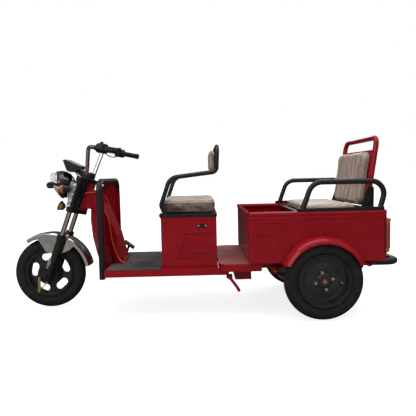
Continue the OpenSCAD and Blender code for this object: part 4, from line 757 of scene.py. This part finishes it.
band_low, band_high, band_mid = 0.006, 0.016, 0.011
plate_in, plate_out, plate_wide, plate_tall, plate_x, plate_z = 0.1002, 0.1034, 0.036, 0.140, -0.074, 0.492
slot_low, arm_low, arm_high, slot_high = 0.450, 0.4925, 0.5125, 0.545
arm_neck, arm_len, foot_step = 0.020, 0.086, 0.016
for side, word in sides:
    sleeve = rod("fork_sleeve_" + word, 48, radius=0.020, length=head_len,
                 place=(-fork_offset, side * fork_half, head_low + head_len / 2))
    select_faces(sleeve, lambda at, n: abs(n.z) > 0.9)
    bpy.ops.mesh.inset(thickness=0.0055, depth=0.0)
    bpy.ops.mesh.delete(type="FACE")
    for height in (band_low, band_high, head_len - band_high, head_len - band_low):
        cut_level(head_low + height)
    for height in (band_mid, head_len - band_mid):
        select_faces(sleeve, lambda at, n: abs(n.z) < 0.1 and abs(at.z - head_low - height) < 0.004)
        bpy.ops.mesh.inset(thickness=0.0016, depth=0.0016)
    settle(sleeve)
    lean(sleeve)
    hand_over(sleeve, black_enamel, "steering", "lamp_brackets")

    ear = block("lamp_bracket_" + word, (plate_wide, plate_out - plate_in, plate_tall),
                (plate_x, side * (plate_in + plate_out) / 2, plate_z))
    for height in (slot_low, arm_low, arm_high, slot_high):
        cut_level(height)
    select_faces(ear, lambda at, n: n.x < -0.9 and arm_low < at.z < arm_high)
    pull(-arm_neck, 0, 0)
    bpy.ops.transform.resize(value=(1, 1, 0.7), center_override=(-0.112, 0, (arm_low + arm_high) / 2))
    pull(-arm_len, 0, 0)
    select_faces(ear, lambda at, n: n.x < -0.9 and at.z < slot_low)
    bpy.ops.transform.translate(value=(foot_step, 0, 0))
    select_faces(ear, lambda at, n: side * n.y > 0.9 and at.x > -0.093)
    bpy.ops.mesh.inset(thickness=0.004, depth=-0.0012, use_individual=True)
    settle(ear)
    lean(ear)
    hand_over(ear, silver_paint, "steering", "lamp_brackets")


# Headlamp: a clear moulded glass with a slanted front over a bright pressed reflector and bulb, held by a chromed rim.
# Black caps cover the bolts that clamp the bucket between the bracket's ears.
def stand(piece, spot, way):
    """Turns a piece modelled along +Z at the origin to point along way at spot, local Y up, and applies the turn."""
    alone(piece)
    piece.matrix_world = Matrix.Translation(spot) @ Vector(way).to_track_quat("Z", "Y").to_matrix().to_4x4()
    bpy.ops.object.transform_apply()


def steps_in(steps):
    """Insets the chosen faces step by step, each step by its width and its rise."""
    for width, rise in steps:
        bpy.ops.mesh.inset(thickness=width, depth=rise)


lamp_tilt, lamp_r, glass_slant, glass_t = math.radians(8), 0.077, math.radians(13), 0.0025
lamp_spot = Vector((front_x + 0.084, 0, 0.721))
lamp_way = Vector((-math.cos(lamp_tilt), 0, -math.sin(lamp_tilt)))
glass = rod("headlamp_glass", 64, radius=lamp_r - 0.0015, length=0.060, place=(0, 0, 0.0305))
bpy.ops.mesh.bisect(plane_co=(0, 0, 0.029), plane_no=(0, -math.sin(glass_slant), math.cos(glass_slant)),
                    use_fill=True, clear_outer=True)
select_faces(glass, lambda at, n: n.z > 0.9)
bpy.ops.mesh.bevel(offset=0.011, segments=6, affect="EDGES")
select_faces(glass, lambda at, n: n.z < -0.9)
bpy.ops.mesh.delete(type="FACE")
bpy.ops.object.mode_set(mode="OBJECT")
wall = glass.modifiers.new("wall", "SOLIDIFY")
wall.thickness, wall.offset = glass_t, -1
bpy.ops.object.modifier_apply(modifier=wall.name)
settle(glass)
stand(glass, lamp_spot, lamp_way)
hand_over(glass, clear_lens, "steering", "headlamp_lens")

mirror_metal = bare_metal(
    "mirror_metal", (0.80, 0.80, 0.80), stain=(0.72, 0.72, 0.72), gloss=(0.05, 0.12), grain=(0.02, 300.0))
bpy.ops.mesh.primitive_circle_add(vertices=64, radius=0.0715, fill_type="NGON", location=(0, 0, 0.012))
bowl = begin("headlamp_reflector")
steps_in(((0.012, -0.0045), (0.016, -0.0035), (0.020, -0.0025), (0.014, -0.0005)))
steps_in(((0.0012, 0.004), (0.001, 0.008), (0.0022, 0.004)))
settle(bowl)
stand(bowl, lamp_spot, lamp_way)
hand_over(bowl, mirror_metal, "steering")

rim_spot = (0, 0, 0.0025)
bpy.ops.mesh.primitive_torus_add(
    location=rim_spot, major_radius=lamp_r + 0.0008, minor_radius=0.0034, major_segments=72, minor_segments=16)
rim = begin("headlamp_rim")
bpy.ops.transform.resize(value=(1, 1, 1.5), center_override=rim_spot)
settle(rim)
stand(rim, lamp_spot, lamp_way)
hand_over(rim, chrome, "steering")

boss_x, boss_end, boss_z, cap_len = front_x + 0.054, 0.0842, 0.7205, 0.030
for side, word in sides:
    cap = rod("lamp_bolt_cap_" + word, 36, radius=0.0185, length=cap_len, place=(0, 0, cap_len / 2))
    select_faces(cap, lambda at, n: n.z > 0.9)
    bpy.ops.mesh.bevel(offset=0.004, segments=3, affect="EDGES")
    select_faces(cap, lambda at, n: n.z > 0.99)
    bpy.ops.mesh.inset(thickness=0.005, depth=-0.002)
    settle(cap)
    stand(cap, (boss_x, side * boss_end, boss_z), (0, side, 0))
    hand_over(cap, black_moulding, "steering")

# Horn: a gold-passivated pressed dome behind a black rim, hung from the lower yoke by a flat steel strap.
# The dome is rolled into the rim, and the strap is bent at both ends.
horn_tilt, horn_t = math.radians(27), 0.007
horn_spot = Vector((front_x + 0.068, 0, 0.601))
horn_way = Vector((-math.cos(horn_tilt), 0, math.sin(horn_tilt)))
horn = rod("horn_body", 48, radius=0.031, length=horn_t, place=(0, 0, -horn_t / 2))
select_faces(horn, lambda at, n: abs(n.z) > 0.9)
bpy.ops.mesh.bevel(offset=0.0015, segments=2, affect="EDGES")
select_faces(horn, lambda at, n: n.z > 0.99)
steps_in(((0.004, -0.001), (0.006, 0.0), (0.003, -0.0012), (0.005, 0.0)))
select_faces(horn, lambda at, n: n.z < -0.99)
steps_in(((0.003, 0.0), (0.0015, 0.009), (0.003, 0.008), (0.006, 0.007), (0.006, 0.003)))
settle(horn)
for finish in (black_moulding, gold_plate):
    horn.data.materials.append(finish)
dome_top = -0.0068
for face in horn.data.polygons:
    face.material_index = int(face.center.z < dome_top)
stand(horn, horn_spot, horn_way)
hand_over(horn, gold_plate, "steering", "horn")

strap = block("horn_strap", (0.030, 0.018, 0.004), (front_x + 0.112, 0, 0.589))
for end, shift in ((-1, (-0.012, 0, 0.006)), (1, (0.024, 0, -0.012))):
    select_faces(strap, lambda at, n: end * n.x > 0.9)
    pull(*shift)
bpy.ops.mesh.select_all(action="SELECT")
bpy.ops.mesh.bevel(offset=0.0008, segments=2, affect="EDGES")
settle(strap)
hand_over(strap, black_enamel, "steering", "horn")

# Tail lamps: a lens moulded in orange and red, deeper at the top, in its black base on the tub's corner post.
# Steps are moulded into its face between the colours.
lens_low, lens_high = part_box("tail_lenses")
lens_in, lens_sunk, lens_proud = 0.324, 0.008, 0.0012
lens_deep, lens_wide, lens_tall = lens_high.x - lens_low.x, lens_high.y + lens_proud - lens_in, lens_high.z - lens_low.z
lens_x, lens_y = lens_low.x + lens_deep / 2 - lens_sunk, lens_in + lens_wide / 2
seams = [lens_low.z + share * lens_tall for share in (0.1, 0.9)]
for side, word in sides:
    lens = block("tail_lens_" + word, (lens_deep, lens_wide, lens_tall),
                 (lens_x, side * lens_y, (lens_low.z + lens_high.z) / 2))
    for seam in seams:
        cut_level(seam)
    for share, reach in ((0.05, 0.0), (0.5, 0.003), (0.95, 0.005)):
        centre = lens_low.z + share * lens_tall
        select_faces(lens, lambda at, n: n.x > 0.7 and abs(at.z - centre) < 0.02)
        bpy.ops.mesh.inset(thickness=0.0022, depth=0.0015)
        bpy.ops.transform.translate(value=(reach, 0, 0))
    for outer in (lambda n: side * n.y > 0.9, lambda n: n.z > 0.9):
        select_faces(lens, lambda at, n: outer(n))
        bpy.ops.mesh.inset(thickness=0.0015, depth=0.001, use_individual=True)
    settle(lens)
    for finish in (red_lens, orange_lens):
        lens.data.materials.append(finish)
    for face in lens.data.polygons:
        face.material_index = int(not seams[0] < face.center.z < seams[1])
    hand_over(lens, red_lens, "chassis", "tail_lenses")

# Floor mat: a moulded black rubber sheet on the floor, with flat ribs across it.
# It is cut round the spine cover and lies loose on the pan.
mat_rubber = coated(
    "mat_rubber", colour=(0.030, 0.028, 0.026), shade=(0.042, 0.038, 0.035), worn=(0.09, 0.085, 0.08), edge=0.002,
    rub=0.3, gloss=(0.42, 0.58), peel=(0.2, 700.0), dust=0.2, shine=0.4)
mat_low, mat_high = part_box("floor_mat")
mat_t, mat_gap, mat_border, mat_end = 0.005, 0.003, 0.030, 0.012
cover_end = front_x + 0.453
notch_x, notch_y = cover_end + mat_gap, 0.085 + mat_gap
rib_from, rib_step, rib_wide = cover_end + 0.020, 0.018, 0.008
mat_ribs = int((mat_high.x - mat_end - rib_from) / rib_step)
for side, word in sides:
    mat = block("mat_rubber_" + word, (mat_high.x - mat_low.x, mat_high.y, mat_t),
                ((mat_low.x + mat_high.x) / 2, side * mat_high.y / 2, mat_low.z + mat_t / 2))
    for place, way in (((notch_x, 0, 0), (1, 0, 0)), ((0, side * notch_y, 0), (0, 1, 0))):
        bpy.ops.mesh.select_all(action="SELECT")
        bpy.ops.mesh.bisect(plane_co=place, plane_no=way)
    select_faces(mat, lambda at, n: at.x < notch_x and abs(at.y) < notch_y)
    bpy.ops.mesh.delete(type="FACE")
    for i in range(mat_ribs):
        for edge in (0, rib_wide):
            select_faces(mat, lambda at, n: n.z > 0.9 and at.x > cover_end)
            bpy.ops.mesh.bisect(plane_co=(rib_from + i * rib_step + edge, 0, 0), plane_no=(1, 0, 0))
    for border in (mat_border, mat_high.y - mat_border):
        select_faces(mat, lambda at, n: n.z > 0.9)
        bpy.ops.mesh.bisect(plane_co=(0, side * border, 0), plane_no=(0, 1, 0))
    select_faces(mat, lambda at, n: n.z > 0.9 and mat_border < abs(at.y) < mat_high.y - mat_border
                 and rib_from < at.x < rib_from + mat_ribs * rib_step and (at.x - rib_from) % rib_step < rib_wide)
    bpy.ops.mesh.inset(thickness=0.0012, depth=0.002)
    settle(mat, 30)
    hand_over(mat, mat_rubber, "chassis", "floor_mat")

# Handlebar grips: black rubber sleeves with turned ribs and a wider end.
# Each is pushed over the bar's end.
grip_from, grip_end = Vector((front_x + 0.4091, 0.2687, 0.9052)), Vector((front_x + 0.488, 0.325, 0.889))
grip_way = grip_end - grip_from
grip_len, grip_r, ring_from, ring_step, ring_count = grip_way.length + 0.004, 0.0155, 0.008, 0.0042, 19
rings = [ring_from + ring_step * i for i in range(ring_count)]
for side, word in sides:
    grip = rod("grip_" + word, 40, radius=grip_r, length=grip_len, place=(0, 0, grip_len / 2))
    for ring in rings:
        cut_level(ring)
    select_faces(grip, lambda at, n: abs(n.z) < 0.1 and rings[0] < at.z < rings[-1]
                 and int((at.z - rings[0]) / ring_step) % 2 == 0)
    bpy.ops.mesh.inset(thickness=0.0007, depth=-0.0012)
    select_faces(grip, lambda at, n: abs(n.z) < 0.1 and (at.z < rings[0] or at.z > rings[-1]))
    bpy.ops.mesh.inset(thickness=0.0012, depth=0.0012)
    select_faces(grip, lambda at, n: n.z > 0.9)
    bpy.ops.mesh.bevel(offset=0.003, segments=3, affect="EDGES")
    settle(grip)
    mirror = Vector((1, side, 1))
    stand(grip, grip_from * mirror, grip_way * mirror)
    hand_over(grip, rubber, "steering", "grips")

# Fork plate: a pale steel strap with two holes, cut from flat bar.
# It is bolted to the front of the left leg for the brake cable.
strip_x, strip_y, strip_z, hole_from = -0.066, -0.0975, 0.0735, 0.012
strip = block("fork_plate", (0.020, 0.004, 0.064), (strip_x, strip_y, strip_z))
for height in (strip_z - 0.011, strip_z + 0.011):
    cut_level(height)
select_faces(strip, lambda at, n: n.y < -0.9 and abs(at.z - strip_z) > hole_from)
bpy.ops.mesh.inset(thickness=0.004, depth=0.0, use_individual=True)
bpy.ops.mesh.bevel(offset=0.003, segments=3, affect="VERTICES")
select_faces(strip, lambda at, n: n.y < -0.9 and abs(at.z - strip_z) > hole_from and abs(at.x - strip_x) < 0.001)
pull(0, 0.003, 0)
settle(strip)
lean(strip)
hand_over(strip, silver_paint, "steering")

# Lock screws: two pale pan-head screws of plated steel.
# They hold the ends of the seat box lock's plate.
screw_half, screw_y = 0.019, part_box("seat_box")[0].y - 0.0012
for end, word in ((-1, "front"), (1, "rear")):
    screw = rod("lock_screw_" + word, 24, radius=0.0042, length=0.003, turn=across,
                place=(lock_x + end * screw_half, screw_y, lock_z))
    select_faces(screw, lambda at, n: n.y < -0.9)
    bpy.ops.mesh.bevel(offset=0.001, segments=2, affect="EDGES")
    select_faces(screw, lambda at, n: n.y < -0.99)
    bpy.ops.mesh.inset(thickness=0.0018, depth=-0.0008)
    settle(screw)
    hand_over(screw, pin_steel, "chassis")

# Rope hooks: a bent steel rod on each side, painted with the tub.
# It is welded under the tub near its rear end.
hook_route = ((1.742, 0.336, 0.297), (1.750, 0.338, 0.283), (1.766, 0.338, 0.269), (1.783, 0.334, 0.273),
              (1.812, 0.325, 0.297))
hook_d = 0.0075
for side, word in sides:
    hook = round_wire("rope_hook_" + word, [(front_x + x, side * y, z) for x, y, z in hook_route], hook_d, red_paint)
    hand_over(hook, red_paint, "chassis")


# Wiring: two short black plastic-covered leads on the handlebar, fixed at both ends and sagging between them.
# One runs from the right bar into its switch housing, the other from under the meter into the upper yoke.
def sagging(start, end, sag, count=16):
    """Points of a lead held at both ends, as a parabola of the given sag."""
    shares = [i / (count - 1) for i in range(count)]
    return [Vector(start).lerp(Vector(end), t) - Vector((0, 0, 4 * sag * t * (1 - t))) for t in shares]


lead_d = 0.006
leads = (("switch", (0.300, 0.178, 0.918), (0.384, 0.246, 0.900), 0.024),
         ("meter", (0.172, -0.030, 0.803), (0.246, -0.030, 0.748), 0.020))
for word, start, end, sag in leads:
    route = sagging((front_x + start[0], *start[1:]), (front_x + end[0], *end[1:]), sag)
    lead = round_wire("lead_" + word, route, lead_d, black_moulding)
    hand_over(lead, black_moulding, "steering")

# Rear rims: pressed ribs stiffen the disc's outer flat, and a thin rolled ring closes the disc against the barrel.
# Both are of the rim's steel and enamel.
rib_ring, rib_reach, rib_side, rib_high, rib_count, rib_y = 0.107, 0.015, 0.0045, 0.006, 20, rear_y + 0.004
for side, word in sides:
    ribs = []
    for i in range(rib_count):
        turn = 2 * math.pi * i / rib_count
        spot = (rear_x + rib_ring * math.cos(turn), side * rib_y, axle_z - rib_ring * math.sin(turn))
        bpy.ops.mesh.primitive_cube_add(
            size=1, scale=(rib_reach, rib_high, rib_side), rotation=(0, turn, 0), location=spot)
        ribs.append(bpy.context.active_object)
    bpy.ops.mesh.primitive_torus_add(
        location=(rear_x, side * rib_y, axle_z), rotation=across, major_radius=rib_ring - rib_reach / 2,
        minor_radius=0.003, major_segments=96, minor_segments=12)
    ribs.append(bpy.context.active_object)
    for rib in ribs:
        rib.select_set(True)
    bpy.context.view_layer.objects.active = ribs[0]
    bpy.ops.object.join()
    trim = begin("rim_ribs_" + word)
    select_faces(trim, lambda at, n: side * n.y > 0.95 and off_axis(at, rear_x) > rib_ring - 0.001)
    bpy.ops.mesh.bevel(offset=0.0012, segments=2, affect="EDGES")
    settle(trim)
    hand_over(trim, rim_black, "rear_wheel_" + word)

# Tub swage: a half-round bead pressed along each side of the tub under its rolled top edge.
# It stiffens the sheet and is painted with it.
side_low, side_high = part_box("tub_side_left")
swage_drop, swage_tall, swage_deep, swage_short, tub_half = 0.034, 0.007, 0.004, 0.030, 0.345
for side, word in sides:
    swage = block("tub_swage_" + word, (side_high.x - side_low.x - swage_short, swage_deep, swage_tall),
                  ((side_low.x + side_high.x) / 2, side * tub_half, side_high.z - swage_drop))
    select_faces(swage, lambda at, n: side * n.y > 0.9)
    bpy.ops.mesh.bevel(offset=0.0018, segments=4, affect="EDGES")
    settle(swage, 60)
    hand_over(swage, red_paint, "chassis")
